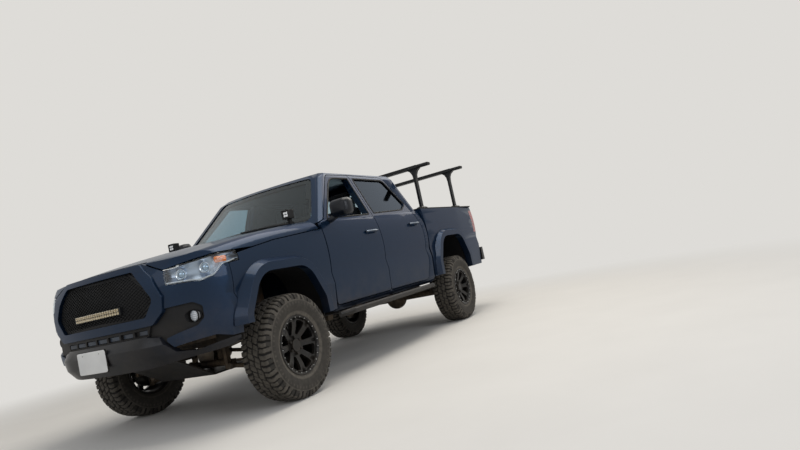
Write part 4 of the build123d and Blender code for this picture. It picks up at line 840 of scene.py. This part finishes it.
# %% Bolts and nuts
BOLT_COUNT = 24
BOLT_CIRCLE = 205.5
BOLT_HEAD = [(-2.0, 5.0), (3.0, 5.0), (4.6, 3.8), (5.2, 1.5)]
NUT_COUNT = 6
NUT_CIRCLE = 61.0
NUT_HEAD = [(-2.0, 10.5), (14.0, 10.5), (18.0, 8.0), (20.0, 3.0)]
HUB_CAP = [(14, 46), (19, 46), (19, 40), (17, 38), (17, 4)]
# metres from the wheel's middle out to the rim's lip and to the hub's face
LIP_OUT = 0.112
HUB_OUT = 0.058


def around_axle(radius_mm, count, turn_share=0.0):
    """Offsets on a circle about the axle: radius (cos a, 0, sin a)."""
    a = (np.arange(count) + turn_share) * 2 * np.pi / count
    return np.stack([np.cos(a), 0 * a, np.sin(a)], axis=1) * radius_mm / 1000.0


for name, (x, side) in WHEELS.items():
    axle = (0.0, side, 0.0)
    lip = (x, side * (HALF_TRACK + LIP_OUT), AXLE_Z)
    hub = (x, side * (HALF_TRACK + HUB_OUT), AXLE_Z)
    bolts = repeated(turned(BOLT_HEAD, lip, axle, count=6), around_axle(BOLT_CIRCLE, BOLT_COUNT))
    make_piece(f"lip_bolts_{name}", [bolts], zinc, f"{name}_wheel")
    nuts = repeated(turned(NUT_HEAD, hub, axle, count=6), around_axle(NUT_CIRCLE, NUT_COUNT, turn_share=0.5))
    hub_rim = turned(HUB_CAP, hub, axle, count=32)
    make_piece(f"hub_nuts_{name}", [nuts, hub_rim], "black_metal", f"{name}_wheel")
print("bolts", BOLT_COUNT * 4, "nuts", NUT_COUNT * 4)

# %% [markdown]
# ## Grille mesh
#
# The mesh is flat expanded metal: two families of slanting strands cross in front of the plain panel and
# follow its curve. The opening is convex, so a line's part inside it lies between the last edge it enters
# and the first it leaves.

# %% Grille strands
# corners (y, z) of the opening in mm
GRILLE = [(-362, 1142), (362, 1142), (452, 1040), (522, 932)]
GRILLE += [(442, 824), (-442, 824), (-522, 932), (-452, 1040)]
MESH_MIDDLE = 983.0
MESH_REACH = 900.0
STRAND_PITCH = 19.0
STRAND_SLOPE = 0.62
STRAND_POINTS = 14
STRAND_HALF = 0.0021
STRAND_PROUD = 0.003
SHORTEST_MM = 20.0


def inside_hexagon(start, way):
    """The first and last reach s of start + s way inside the opening, from every edge's half plane."""
    corners = np.asarray(GRILLE, float)
    edges = np.roll(corners, -1, axis=0) - corners
    inward = np.stack([edges[:, 1], -edges[:, 0]], axis=1)
    slope = inward @ way
    room = np.einsum("ij,kij->ki", inward, corners[None] - start[:, None])
    reach = room / slope
    enter = np.where(slope > 0, reach, -np.inf).max(axis=1)
    leave = np.where(slope < 0, reach, np.inf).min(axis=1)
    return enter, leave


def strands(slope):
    """All strands of one slope, as lines of points just ahead of the panel's face."""
    way = unit((1.0, slope))
    step = STRAND_PITCH * math.hypot(1.0, slope)
    heights = np.arange(MESH_MIDDLE - MESH_REACH, MESH_MIDDLE + MESH_REACH, step)
    start = np.stack([0.0 * heights, heights], axis=1)
    enter, leave = inside_hexagon(start, way)
    kept = leave - enter > SHORTEST_MM
    share = np.linspace(0.0, 1.0, STRAND_POINTS)[None, :, None]
    first = start[kept] + enter[kept, None] * way
    last = start[kept] + leave[kept, None] * way
    flat = (first[:, None] + share * (last - first)[:, None]) / 1000.0
    x = meeting("grille_mesh", 0, flat.reshape(-1, 2), np.nan).reshape(flat.shape[:2])
    return [np.column_stack([row_x + STRAND_PROUD, row]) for row_x, row in zip(x, flat)]


lines = [line[np.isfinite(line[:, 0])] for line in strands(STRAND_SLOPE) + strands(-STRAND_SLOPE)]
wires = [tube(line, STRAND_HALF, sides=4, flat=1.4) for line in lines if len(line) > 2]
make_piece("grille_strands", wires, "black_metal")
print("grille strands", len(wires))

# %% [markdown]
# ## Lamp bar and fog lamps
#
# The lamp bar stands for the model's plain one: a black housing that follows the nose's curve, with two
# rows of square optics that look warm in daylight. Each fog lamp is an aluminised bowl behind a domed
# glass, in a black ring.

# %% Lamp bar
BAR_HALF = 0.248
BAR_MIDDLE = 0.905
BAR_BACK = 0.016
BAR_WIDTH, BAR_HEIGHT, BAR_CORNER = 30.0, 50.0, 6.0
# lines at the very end of the plain bar would miss it, and x = 2.67 m stands in if one does
JUST_INSIDE = 0.985
BAR_X = 2.67
OPTIC_BACK = 0.001
OPTIC_COLUMNS = 20
OPTIC_PITCH = 0.0236
OPTIC_ROWS = (-0.011, 0.011)
OPTIC_LEVELS = [(-4.0, 0.0), (1.5, 0.0), (3.4, 1.6), (4.4, 4.6)]


def evenly(count, pitch):
    """Places at an even pitch, with their middle at 0."""
    return (np.arange(count) - (count - 1) / 2) * pitch


bar_y = np.linspace(-BAR_HALF, BAR_HALF, 33)
bar_spots = np.stack([bar_y * JUST_INSIDE, 0 * bar_y + BAR_MIDDLE], axis=1)
bar_x = meeting("driving_lights", 0, bar_spots, missing=BAR_X)
bar_out, bar_up = rounded(BAR_WIDTH, BAR_HEIGHT, BAR_CORNER).T / 1000.0
bar_rings = [
    np.column_stack([x - BAR_BACK + bar_out, 0 * bar_out + y, BAR_MIDDLE + bar_up])
    for x, y in zip(bar_x, bar_y)
]
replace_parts(make_piece("lamp_bar_housing", [ringed(bar_rings)], "black_metal"), "driving_lights")
optic = moulded(20.0, 19.0, 4.0, OPTIC_LEVELS, (0, 0, 0))
optic_y = evenly(OPTIC_COLUMNS, OPTIC_PITCH)
optic_x = np.interp(optic_y, bar_y, bar_x) - OPTIC_BACK
rows = [np.column_stack([optic_x, optic_y, 0 * optic_y + BAR_MIDDLE + rise]) for rise in OPTIC_ROWS]
optics = make_piece("lamp_bar_optics", [repeated(optic, np.concatenate(rows))], warm_optic)
print("lamp bar optics", OPTIC_COLUMNS * len(rows))

# %% Fog lamps
# the glass's paler colour is a painted highlight on its flutes
fluted_glass = moulded_lens("pressed_fluted_glass", "#b9c2cb", "#eef2f6", transmission=0.35, flute_mm=7.0)
FOG_AT = (2.482, 0.722, 0.771)
FOG_BOWL = [(-60, 6), (-58, 22), (-40, 34), (-8, 38.5), (-4, 40), (-8, 41.5), (-40, 37), (-62, 24), (-66, 6)]
FOG_RING = [(-30, 41), (2, 41.5), (6, 40), (6, 37.5), (1, 36.5), (-28, 36)]
FOG_GLASS = [(-8, 35), (0, 36.5), (5, 30), (8.5, 20), (10, 8), (10, 1.5), (7, 1.5), (5, 20), (1, 30)]
FOG_BULB = [(-58, 7), (-34, 7), (-30, 12), (-22, 12), (-18, 6), (-16, 1.5)]
for name, profile, finish, closed in (
    ("fog_bowls", FOG_BOWL, chrome, True),
    ("fog_rings", FOG_RING, finishes["black_plastic"], True),
    ("fog_glasses", FOG_GLASS, fluted_glass, True),
    ("fog_bulb_shields", FOG_BULB, chrome, False),
):
    make_piece(name, both_sides(turned(profile, FOG_AT, AHEAD, count=36, closed=closed)), finish)
print("fog lamps at", FOG_AT)

# %% [markdown]
# ## Headlamps
#
# The lens is the model's own clear solid. Inside it sit a bright housing with a chrome lower edge, two
# round lamps in chrome rings and an amber marker at the corner. Each follows the lens's face at a fixed
# depth, found by lines along X.

# %% Headlamp insides
# the lens's lower and upper edges, as (y, z) in mm
LAMP_LOW = [(618, 1002), (752, 994), (790, 984), (846, 1004), (896, 1110)]
LAMP_HIGH = [(602, 1100), (896, 1160)]
LAMP_INWARD = unit((-0.85, -0.5, 0.0))
# the housing's ends across, and how far it stays inside the lens's edges, in mm
LAMP_FROM, LAMP_TO = 622.0, 884.0
ABOVE_LOW, BELOW_HIGH = 6.0, 8.0
HOUSING_FRONT, HOUSING_DEEP = 24.0, 40.0
# the chrome edge stands this far above the housing's floor and behind the lens
EDGE_RISE, EDGE_DEPTH = 6.0, 9.0
SHEET = 0.004
housing_bright = bright_metal("metallised_lamp_housing", "#aeb9c8", roughness=0.28)


def lamp_face(y_mm, z_mm, depth_mm):
    """Points behind the lens face at (y, z): the face's x, moved back and inwards by the depth."""
    flat = np.stack([y_mm, z_mm], axis=1) / 1000.0
    return np.column_stack([face_x("headlamps", flat), flat]) + LAMP_INWARD * depth_mm / 1000.0


across_lamp = np.linspace(LAMP_FROM, LAMP_TO, 24)
floor_z = np.interp(across_lamp, *np.array(LAMP_LOW, float).T) + ABOVE_LOW
roof_z = np.interp(across_lamp, *np.array(LAMP_HIGH, float).T) - BELOW_HIGH


def housing_line(v):
    """A line across the housing at share v of its height, deepest halfway up."""
    depth = HOUSING_FRONT + HOUSING_DEEP * np.sin(np.pi * v)
    return lamp_face(across_lamp, floor_z + v * (roof_z - floor_z), depth)


housing = np.stack([housing_line(v) for v in np.linspace(0.0, 1.0, 9)])
back = housing + LAMP_INWARD * SHEET
sheet = ringed(np.swapaxes(np.concatenate([housing, back[::-1]]), 0, 1))
make_piece("headlamp_housings", both_sides(sheet), housing_bright)
edge_line = lamp_face(across_lamp, floor_z + EDGE_RISE, EDGE_DEPTH)
edge = tube(edge_line, radius=0.006, sides=8, flat=0.8)
make_piece("headlamp_bright_edges", both_sides(edge), chrome)
print("headlamp housing spans z", floor_z.min().round(1), "to", roof_z.max().round(1))

# %% Projector and marker
PROJECTOR = [(-28, 8), (-26, 30), (-4, 36), (2, 37), (3, 35), (0, 31), (-6, 27), (-10, 4)]
BALL = [(-14, 26), (-6, 25.5), (2, 20), (6, 12), (7.5, 3)]
LAMP_WAY = unit((0.94, 0.34, 0.0))
MARKER_LEVELS = [(-6, 0), (2, 0), (4, 2), (5, 5)]
MARKER_WAYS = (unit((-0.87, 0.5, 0.0)), ABOVE, unit((0.5, 0.87, 0.0)))
clear_ball = bright_metal("polished_projector_lens", "#9fb0c0", roughness=0.08)


def lamp_spot(y_mm, z_mm, depth_mm):
    """One point behind the lens face."""
    return lamp_face(np.array([y_mm]), np.array([z_mm]), depth_mm)[0]


projector_at = lamp_spot(y_mm=808.0, z_mm=1070.0, depth_mm=14.0)
reflector_at = lamp_spot(y_mm=700.0, z_mm=1052.0, depth_mm=22.0)
marker_at = lamp_spot(y_mm=866.0, z_mm=1108.0, depth_mm=8.0)
lamps_at = (projector_at, reflector_at)
rings = [turned(PROJECTOR, at, LAMP_WAY, count=32, closed=True) for at in lamps_at]
make_piece("headlamp_rings", both_sides(*rings), chrome)
balls = [turned(BALL, at, LAMP_WAY, count=32) for at in lamps_at]
make_piece("headlamp_balls", both_sides(*balls), clear_ball)
marker = moulded(84, 42, 12, MARKER_LEVELS, marker_at, MARKER_WAYS)
make_piece("headlamp_markers", both_sides(marker), amber)
print("projector at", projector_at.round(3), "marker at", marker_at.round(3))

# %% [markdown]
# ## Intake cells, plate and small nose parts
#
# The lower intake is a row of seven shallow cells, each with a smooth panel at its back. The number plate
# is blank enamelled aluminium on a black holder.

# %% Cells and plate
CELL_PITCH = 124.0
CELL_COUNT = 7
CELL_Z = 0.727
# the x of a cell's panel where a line misses the intake
CELL_X = 2.6
CELL_LEVELS = [(-3, 0), (2, 0), (4, 2), (4.5, 5)]
PLATE_AT = (2.7015, -0.085, 0.600)
PLATE_LEVELS = [(-1.0, 0.3), (0.0, 0.0), (1.2, 0.0), (1.2, 3.0), (2.4, 5.0), (2.4, 9.0)]
HOLDER_LEVELS = [(-12, 6), (-10, 0), (-2, 0), (-1, 2)]
SCREW_HEAD = [(0, 5), (3.6, 5), (4.6, 3)]
SCREW_SPOTS = [(0, 0.09, 0.055), (0, -0.09, 0.055)]
slate_plastic = grained_coat("satin_slate_plastic", "#2b333e", "#37414e", 0.3, 2.0, 0.12)
cell_y = evenly(CELL_COUNT, CELL_PITCH) / 1000.0
cell_z = 0 * cell_y + CELL_Z
cell_x = meeting("lower_intake", 0, np.stack([cell_y, cell_z], axis=1), missing=CELL_X)
cell = moulded(102, 30, 5, CELL_LEVELS, (0, 0, 0))
make_piece("intake_cells", [repeated(cell, np.column_stack([cell_x, cell_y, cell_z]))], slate_plastic)
make_piece("number_plate", [moulded(305, 152, 14, PLATE_LEVELS, PLATE_AT)], plate_enamel)
make_piece("plate_holder", [moulded(312, 160, 16, HOLDER_LEVELS, PLATE_AT)], "black_plastic")
screws = repeated(turned(SCREW_HEAD, PLATE_AT, AHEAD, count=10), SCREW_SPOTS)
make_piece("plate_screws", [screws], zinc)
print("cells", CELL_COUNT, "at depth", cell_x.round(3))

# %% [markdown]
# ## Lamps at the hood's corners
#
# Two square work lamps stand at the rear corners of the hood and ride on it: the model's black bodies,
# each with a raised rim and four bright optics.

# %% Hood lamps
POD_FACE = (1.320, 0.705, 1.425)
POD_RIM_LEVELS = [(-2, 1), (3, 0), (5, 1.5), (5, 6), (1, 7), (-2, 7)]
POD_OPTIC_LEVELS = [(-1, 0), (1, 0), (3, 2), (3.6, 7)]
QUARTER = 0.0115
pod_rim = moulded(76, 76, 9, POD_RIM_LEVELS, POD_FACE, closed=True)
make_piece("hood_lamp_rims", both_sides(pod_rim), "black_metal", "hood")
pod_optic = moulded(21, 21, 5, POD_OPTIC_LEVELS, POD_FACE)
quarters = [(0, dy, dz) for dy in (-QUARTER, QUARTER) for dz in (-QUARTER, QUARTER)]
make_piece("hood_lamp_optics", both_sides(repeated(pod_optic, quarters)), chrome, "hood")
print("hood lamps at", POD_FACE)

# %% [markdown]
# ## Window seals, glass border and wipers
#
# A black rubber seal frames each side window on the leaning side of the cab. The windscreen has a black
# printed border and two wipers, laid on the glass by lines along X.

# %% Window seals
# outlines (x, z) in mm
FRONT_WINDOW = [(955, 1344), (930, 1372), (600, 1704), (520, 1760), (460, 1772), (201, 1776), (213, 1366)]
REAR_WINDOW = [(116, 1374), (104, 1776), (-470, 1770), (-515, 1752)]
REAR_WINDOW += [(-655, 1472), (-640, 1450), (-520, 1398)]
BELT_Y, BELT_Z = 884.0, 1294.0
CAB_LEAN = 0.4355
SEAL_PROUD = 1.0
SEAL_HALF = 0.0085
SEAL_STEP = 24.0


def seal(outline_mm):
    """A flattened tube round a side window; y = 884 - 0.4355 (z - 1294) mm on the left."""
    x, z = along(outline_mm + outline_mm[:1], SEAL_STEP)[:-1].T
    y = BELT_Y - CAB_LEAN * (z - BELT_Z) + SEAL_PROUD
    return tube(np.column_stack([x, y, z]) / 1000.0, SEAL_HALF, flat=0.45, closed=True)


def door_pair(name, parts, finish, end, sharp=35.0):
    """One piece on the left door of that end, and its mirror image on the right one."""
    left = make_piece(f"{name}_left", parts, finish, f"{end}_left_door", sharp)
    others = [mirrored(part) for part in parts]
    return left, make_piece(f"{name}_right", others, finish, f"{end}_right_door", sharp)


for end, outline_mm in (("front", FRONT_WINDOW), ("rear", REAR_WINDOW)):
    door_pair(f"seal_{end}", [seal(outline_mm)], seal_rubber, end)
print("window seals round", len(FRONT_WINDOW), "and", len(REAR_WINDOW), "corners")

# %% Windscreen border and wipers
SCREEN = np.array([(-748, 1372), (748, 1372), (572, 1782), (-572, 1782)], float)
BORDER_WIDTH = 34.0
BORDER_OUTER, BORDER_INNER = -0.8, -2.4
BORDER_STEP = 30.0
# pivot and tip of each blade, in mm across
WIPERS = ((600.0, 20.0), (20.0, -560.0))
# heights of both ends of a blade and of an arm, how far each stands off the glass, and the arm's shift
BLADE_Z = (1374.0, 1402.0)
ARM_Z = (1366.0, 1388.0)
BLADE_OFF, ARM_OFF = 14.0, 24.0
ARM_SHIFT = 20.0
WIPER_STEP = 25.0


def on_screen(flat_mm, stand_mm):
    """Points on the windscreen at (y, z), stood off its outer face by stand_mm along X."""
    flat = np.asarray(flat_mm, float) / 1000.0
    return np.column_stack([face_x("fixed_glass", flat) + stand_mm / 1000.0, flat])


middle_point = SCREEN.mean(axis=0)
outer_line = along(np.concatenate([SCREEN, SCREEN[:1]]), BORDER_STEP)[:-1]
inner_line = outer_line + np.clip(middle_point - outer_line, -BORDER_WIDTH, BORDER_WIDTH)
band = [on_screen(line, BORDER_OUTER) for line in (outer_line, inner_line)]
band += [on_screen(line, BORDER_INNER) for line in (inner_line, outer_line)]
make_piece("windscreen_border", [ringed(band, closed=True)], frit)
wipers = []
for pivot_y, tip_y in WIPERS:
    arm_y = (pivot_y - ARM_SHIFT, (pivot_y + tip_y) / 2)
    blade = on_screen(along(list(zip((pivot_y, tip_y), BLADE_Z)), WIPER_STEP), BLADE_OFF)
    arm = on_screen(along(list(zip(arm_y, ARM_Z)), WIPER_STEP), ARM_OFF)
    wipers += [tube(blade, radius=0.006, flat=1.5), tube(arm, radius=0.007)]
make_piece("wipers", wipers, "black_metal")
print("border points", len(outer_line), "wipers", len(WIPERS))

# %% [markdown]
# ## Mirrors, handles, rack ends and springs
#
# Rounded mirror housings with silvered glass on their rear faces, the doors' grips, the ends and feet of
# the rack's bars, and a coil round each front strut.

# %% Mirrors
CAP_AT = (0.8845, 1.009, 1.409)
CAP_LEVELS = [(0, 5), (5, 0), (52, 1), (84, 7), (101, 18), (109, 32), (112, 50)]
FOOT_PATH = [(0.958, 0.868, 1.322), (0.955, 0.905, 1.326), (0.945, 0.960, 1.350)]
MIRROR_AT = (0.8842, 1.009, 1.409)
MIRROR_LEVELS = [(0, 1), (2.4, 0), (3.4, 2), (3.8, 6)]
FACING_BACK = (SIDE, ABOVE, (-1.0, 0.0, 0.0))
silvered = bright_metal("silvered_mirror_glass", "#c9ced3", roughness=0.03, haze=0.03)
cap = moulded(198, 160, 50, CAP_LEVELS, CAP_AT)
foot = tube(along(FOOT_PATH, 0.02), radius=0.026, sides=10, flat=0.6)
housings = door_pair("mirror_housing", [cap, foot], "dark_plastic", "front", sharp=50.0)
for housing, node_name in zip(housings, ("mirror_left", "mirror_right")):
    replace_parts(housing, node_name)
mirror_glass = moulded(166, 128, 34, MIRROR_LEVELS, MIRROR_AT, FACING_BACK)
door_pair("mirror_glass", [mirror_glass], silvered, "front")
print("mirror glass at", MIRROR_AT)

# %% Door handles
HANDLES = {"front": (0.340, 1.186), "rear": (-0.592, 1.222)}
# (along, y) in metres, from one end of the grip to its middle
HALF_BOW = [(0.098, 0.914), (0.078, 0.931), (0.040, 0.942)]
HANDLE_BOW = HALF_BOW + [(0.0, 0.945)] + [(-dx, y) for dx, y in HALF_BOW[::-1]]
GRIP_RISE = 0.004
GRIP_RADIUS = 0.0165
for end, (x, z) in HANDLES.items():
    bow = [(x + dx, y, z + GRIP_RISE) for dx, y in HANDLE_BOW]
    grip = tube(along(bow, 0.006), GRIP_RADIUS, sides=10, flat=0.55)
    door_pair(f"handle_grip_{end}", [grip], satin_handle, end)
print("handle grips", 2 * len(HANDLES))

# %% Rack ends and gussets
RACK_X = (-1.150, -2.180)
RACK_Z = 1.920
BAR_END_Y = 0.845
POST_Y = 0.790
RAIL_Z = 1.4055
BAR_END_LEVELS = [(0, 0), (150, 0), (156, 3), (160, 9)]
FOOT_LEVELS = [(0, 0), (16, 0), (22, 6), (40, 40)]
# height in metres and half width in mm of each level of a gusset
GUSSET = [(1.780, 18.0), (1.830, 24.0), (1.870, 44.0), (1.899, 84.0)]
GUSSET_LONG, GUSSET_CORNER = 64.0, 10.0
PLUG = [(-4, 13), (1, 13), (2.5, 10), (2.5, 1)]
PLUG_AT = (-1.263, 0.9035, 1.217)
PLUG_WAY = (0.05, 1, 0.1)


def gusset_level(x, z, half_mm):
    """A rounded rectangle under a bar of the rack, at height z."""
    across, ahead = rounded(2 * half_mm, GUSSET_LONG, GUSSET_CORNER).T / 1000.0
    return np.column_stack([x + ahead, POST_Y + across, 0 * across + z])


rack_parts = []
for x in RACK_X:
    bar_end = moulded(78, 38, 12, BAR_END_LEVELS, (x, BAR_END_Y, RACK_Z), (AHEAD, ABOVE, SIDE))
    gusset = ringed([gusset_level(x, z, half_mm) for z, half_mm in GUSSET])
    foot = moulded(150, 88, 12, FOOT_LEVELS, (x, POST_Y, RAIL_Z), (AHEAD, SIDE, ABOVE))
    for part in (bar_end, gusset, foot):
        rack_parts += both_sides(part)
make_piece("rack_ends_and_feet", rack_parts, "black_metal")
make_piece("bed_side_plug", [turned(PLUG, PLUG_AT, PLUG_WAY, count=20)], "black_plastic")
print("rack parts", len(rack_parts))

# %% Coil springs
COIL_TURNS = 6.5
STEPS_PER_TURN = 20
COIL_RADIUS = 0.046
WIRE_RADIUS = 0.0065
COIL_LOW = np.array((1.811, 0.5564, 0.475))
COIL_HIGH = np.array((1.811, 0.4525, 0.886))
coil_up = np.cross(unit(COIL_HIGH - COIL_LOW), AHEAD)
share = np.linspace(0.0, 1.0, int(COIL_TURNS * STEPS_PER_TURN))[:, None]
a = share * COIL_TURNS * 2 * np.pi
circle = np.cos(a) * AHEAD + np.sin(a) * coil_up
helix = COIL_LOW + share * (COIL_HIGH - COIL_LOW) + COIL_RADIUS * circle
make_piece("front_springs", both_sides(tube(helix, WIRE_RADIUS, sides=8)), "black_metal")
print("spring points", len(helix))

# %% [markdown]
# ## Seats
#
# The seats are foam under woven cloth. Each cushion starts as a rounded block a little smaller than the
# model's own, is remeshed evenly, and is blown up by Blender's cloth with a small pressure and no gravity,
# so that its faces crown and its sides pull in between the corners. Sewn channels are pressed in after
# that, and the cushions on the right are copies of the left ones.

# %% Cushion helper
VOXEL = 0.016
PRESSURE = 4.0
FRAMES = 20
LARGEST_MOVE = 0.014
CHANNEL_DEPTH = 0.006
CHANNEL_HALF = 0.010
PAD_LEVELS = [(0.0, 30.0), (9.0, 12.0), (26.0, 1.0), (40.0, 0.0)]
# corner radius in mm of the large cushions, and of those up to 200 mm high
LARGE_CORNER, SMALL_CORNER = 70.0, 40.0
SMALL_UP_TO = 200


def pad(size_mm, place, ways):
    """A cushion's start shape: a rounded rectangle through its thickness, set in at both faces."""
    width, height, thick = size_mm
    rise = PAD_LEVELS + [(thick - stand, inset) for stand, inset in PAD_LEVELS[::-1]]
    corner = LARGE_CORNER if height > SMALL_UP_TO else SMALL_CORNER
    return moulded(width, height, corner, rise, place, ways)


def applied(piece):
    """The piece's mesh becomes what its modifiers make of it, and the modifiers go."""
    graph = bpy.context.evaluated_depsgraph_get()
    done = bpy.data.meshes.new_from_object(piece.evaluated_get(graph))
    piece.modifiers.clear()
    piece.data = done
    return vertex_array(done)


def blown_up(piece):
    """Swells the piece with cloth pressure over 20 frames, and caps how far each point may move."""
    scene = bpy.context.scene
    scene.frame_set(1)
    start = vertex_array(piece.data)
    cloth = piece.modifiers.new("foam", "CLOTH")
    cloth.settings.use_pressure = True
    cloth.settings.uniform_pressure_force = PRESSURE
    cloth.settings.quality = 4
    cloth.settings.effector_weights.gravity = 0.0
    for number in range(1, FRAMES + 1):
        scene.frame_set(number)
    swollen = applied(piece)
    scene.frame_set(1)
    move = swollen - start
    length = np.linalg.norm(move, axis=1, keepdims=True)
    moved = start + move * np.minimum(1.0, LARGEST_MOVE / np.maximum(length, 1e-9))
    piece.data.vertices.foreach_set("co", moved.ravel())


def stuffed(piece):
    smooth = piece.modifiers.new("round", "SUBSURF")
    smooth.levels = 1
    smooth.render_levels = 1
    return piece


# %% Cushions
LEVEL = (SIDE, AHEAD, ABOVE)
FRONT_BACK = (SIDE, unit((-0.125, 0.0, 0.585)), unit((0.585, 0.0, 0.125)))
REAR_BACK = (SIDE, unit((-0.078, 0.0, 0.495)), unit((0.495, 0.0, 0.078)))
BASE_CHANNELS = (0.16, 0.28, 0.40)
BACK_CHANNELS = (1.02, 1.13, 1.24, 1.35)
BENCH_SEAMS = (-0.22, 0.22)
# size in mm, place, ways, fill, and the channels with the way they are counted
CUSHIONS = {
    "seat_base_left": ((500, 500, 96), (0.290, 0.380, 0.885), LEVEL, 0.8, BASE_CHANNELS, AHEAD),
    "seat_back_left": ((490, 570, 92), (-0.018, 0.380, 1.232), FRONT_BACK, 0.8, BACK_CHANNELS, ABOVE),
    "headrest_left": ((250, 150, 84), (-0.087, 0.380, 1.611), FACING_AHEAD, 0.9),
    "rear_bench_base": ((1215, 500, 96), (-0.330, 0.0, 0.885), LEVEL, 0.8, BENCH_SEAMS, SIDE),
    "rear_bench_back": ((1215, 480, 84), (-0.600, 0.0, 1.190), REAR_BACK, 0.8, BENCH_SEAMS, SIDE),
    "rear_headrest_left": ((230, 150, 72), (-0.640, 0.400, 1.515), FACING_AHEAD, 0.9),
    "rear_headrest_middle": ((230, 150, 72), (-0.640, 0.0, 1.515), FACING_AHEAD, 0.9),
}
STAND_Z = 0.6655
STAND_LEVELS = [(0, 4), (4, 0), (212, 0), (216, 4)]


def cushion(name, size_mm, place, ways, fill, channels=(), channel_way=AHEAD):
    """Remesh, swell, press the sewn channels in, subdivide once: depth = 6 mm exp(-(distance / 10 mm)^2)."""
    piece = make_piece(name, [pad(size_mm, place, ways)], "seat_fabric", sharp=180.0)
    remesh = piece.modifiers.new("even", "REMESH")
    remesh.mode = "VOXEL"
    remesh.voxel_size = VOXEL
    applied(piece)
    blown_up(piece)
    points = vertex_array(piece.data)
    normals = vertex_array(piece.data, "normal")
    facing = np.clip(normals @ np.asarray(ways[2]), 0.0, 1.0)
    for at in channels:
        distance = points @ np.asarray(channel_way) - at
        depth = CHANNEL_DEPTH * np.exp(-((distance / CHANNEL_HALF) ** 2)) * facing
        points = points - normals * depth[:, None]
    piece.data.vertices.foreach_set("co", points.ravel())
    piece.data.polygons.foreach_set("use_smooth", np.ones(len(piece.data.polygons), bool))
    piece.data.materials.clear()
    piece.data.materials.append(finishes["seat_fabric"])
    return stuffed(piece)


def right_twin(piece):
    """A cushion for the other side: the same mesh with y turned round, and its faces turned back."""
    twin_mesh = piece.data.copy()
    points = vertex_array(twin_mesh) * (1.0, -1.0, 1.0)
    twin_mesh.vertices.foreach_set("co", points.ravel())
    twin_mesh.flip_normals()
    twin = placed(piece.name.replace("left", "right"), twin_mesh)
    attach(twin, "chassis")
    stuffed(twin)


made = {name: cushion(name, *row) for name, row in CUSHIONS.items()}
for name, piece in made.items():
    if name.endswith("left"):
        right_twin(piece)
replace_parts(made["seat_base_left"], "seats")
stand = moulded(420, 430, 30, STAND_LEVELS, (0.290, 0.380, STAND_Z), LEVEL)
bench = moulded(1140, 430, 30, STAND_LEVELS, (-0.330, 0.0, STAND_Z), LEVEL)
make_piece("seat_stands", [*both_sides(stand), bench], "black_plastic")
print("cushions made", len(made), "of which the left ones have twins")
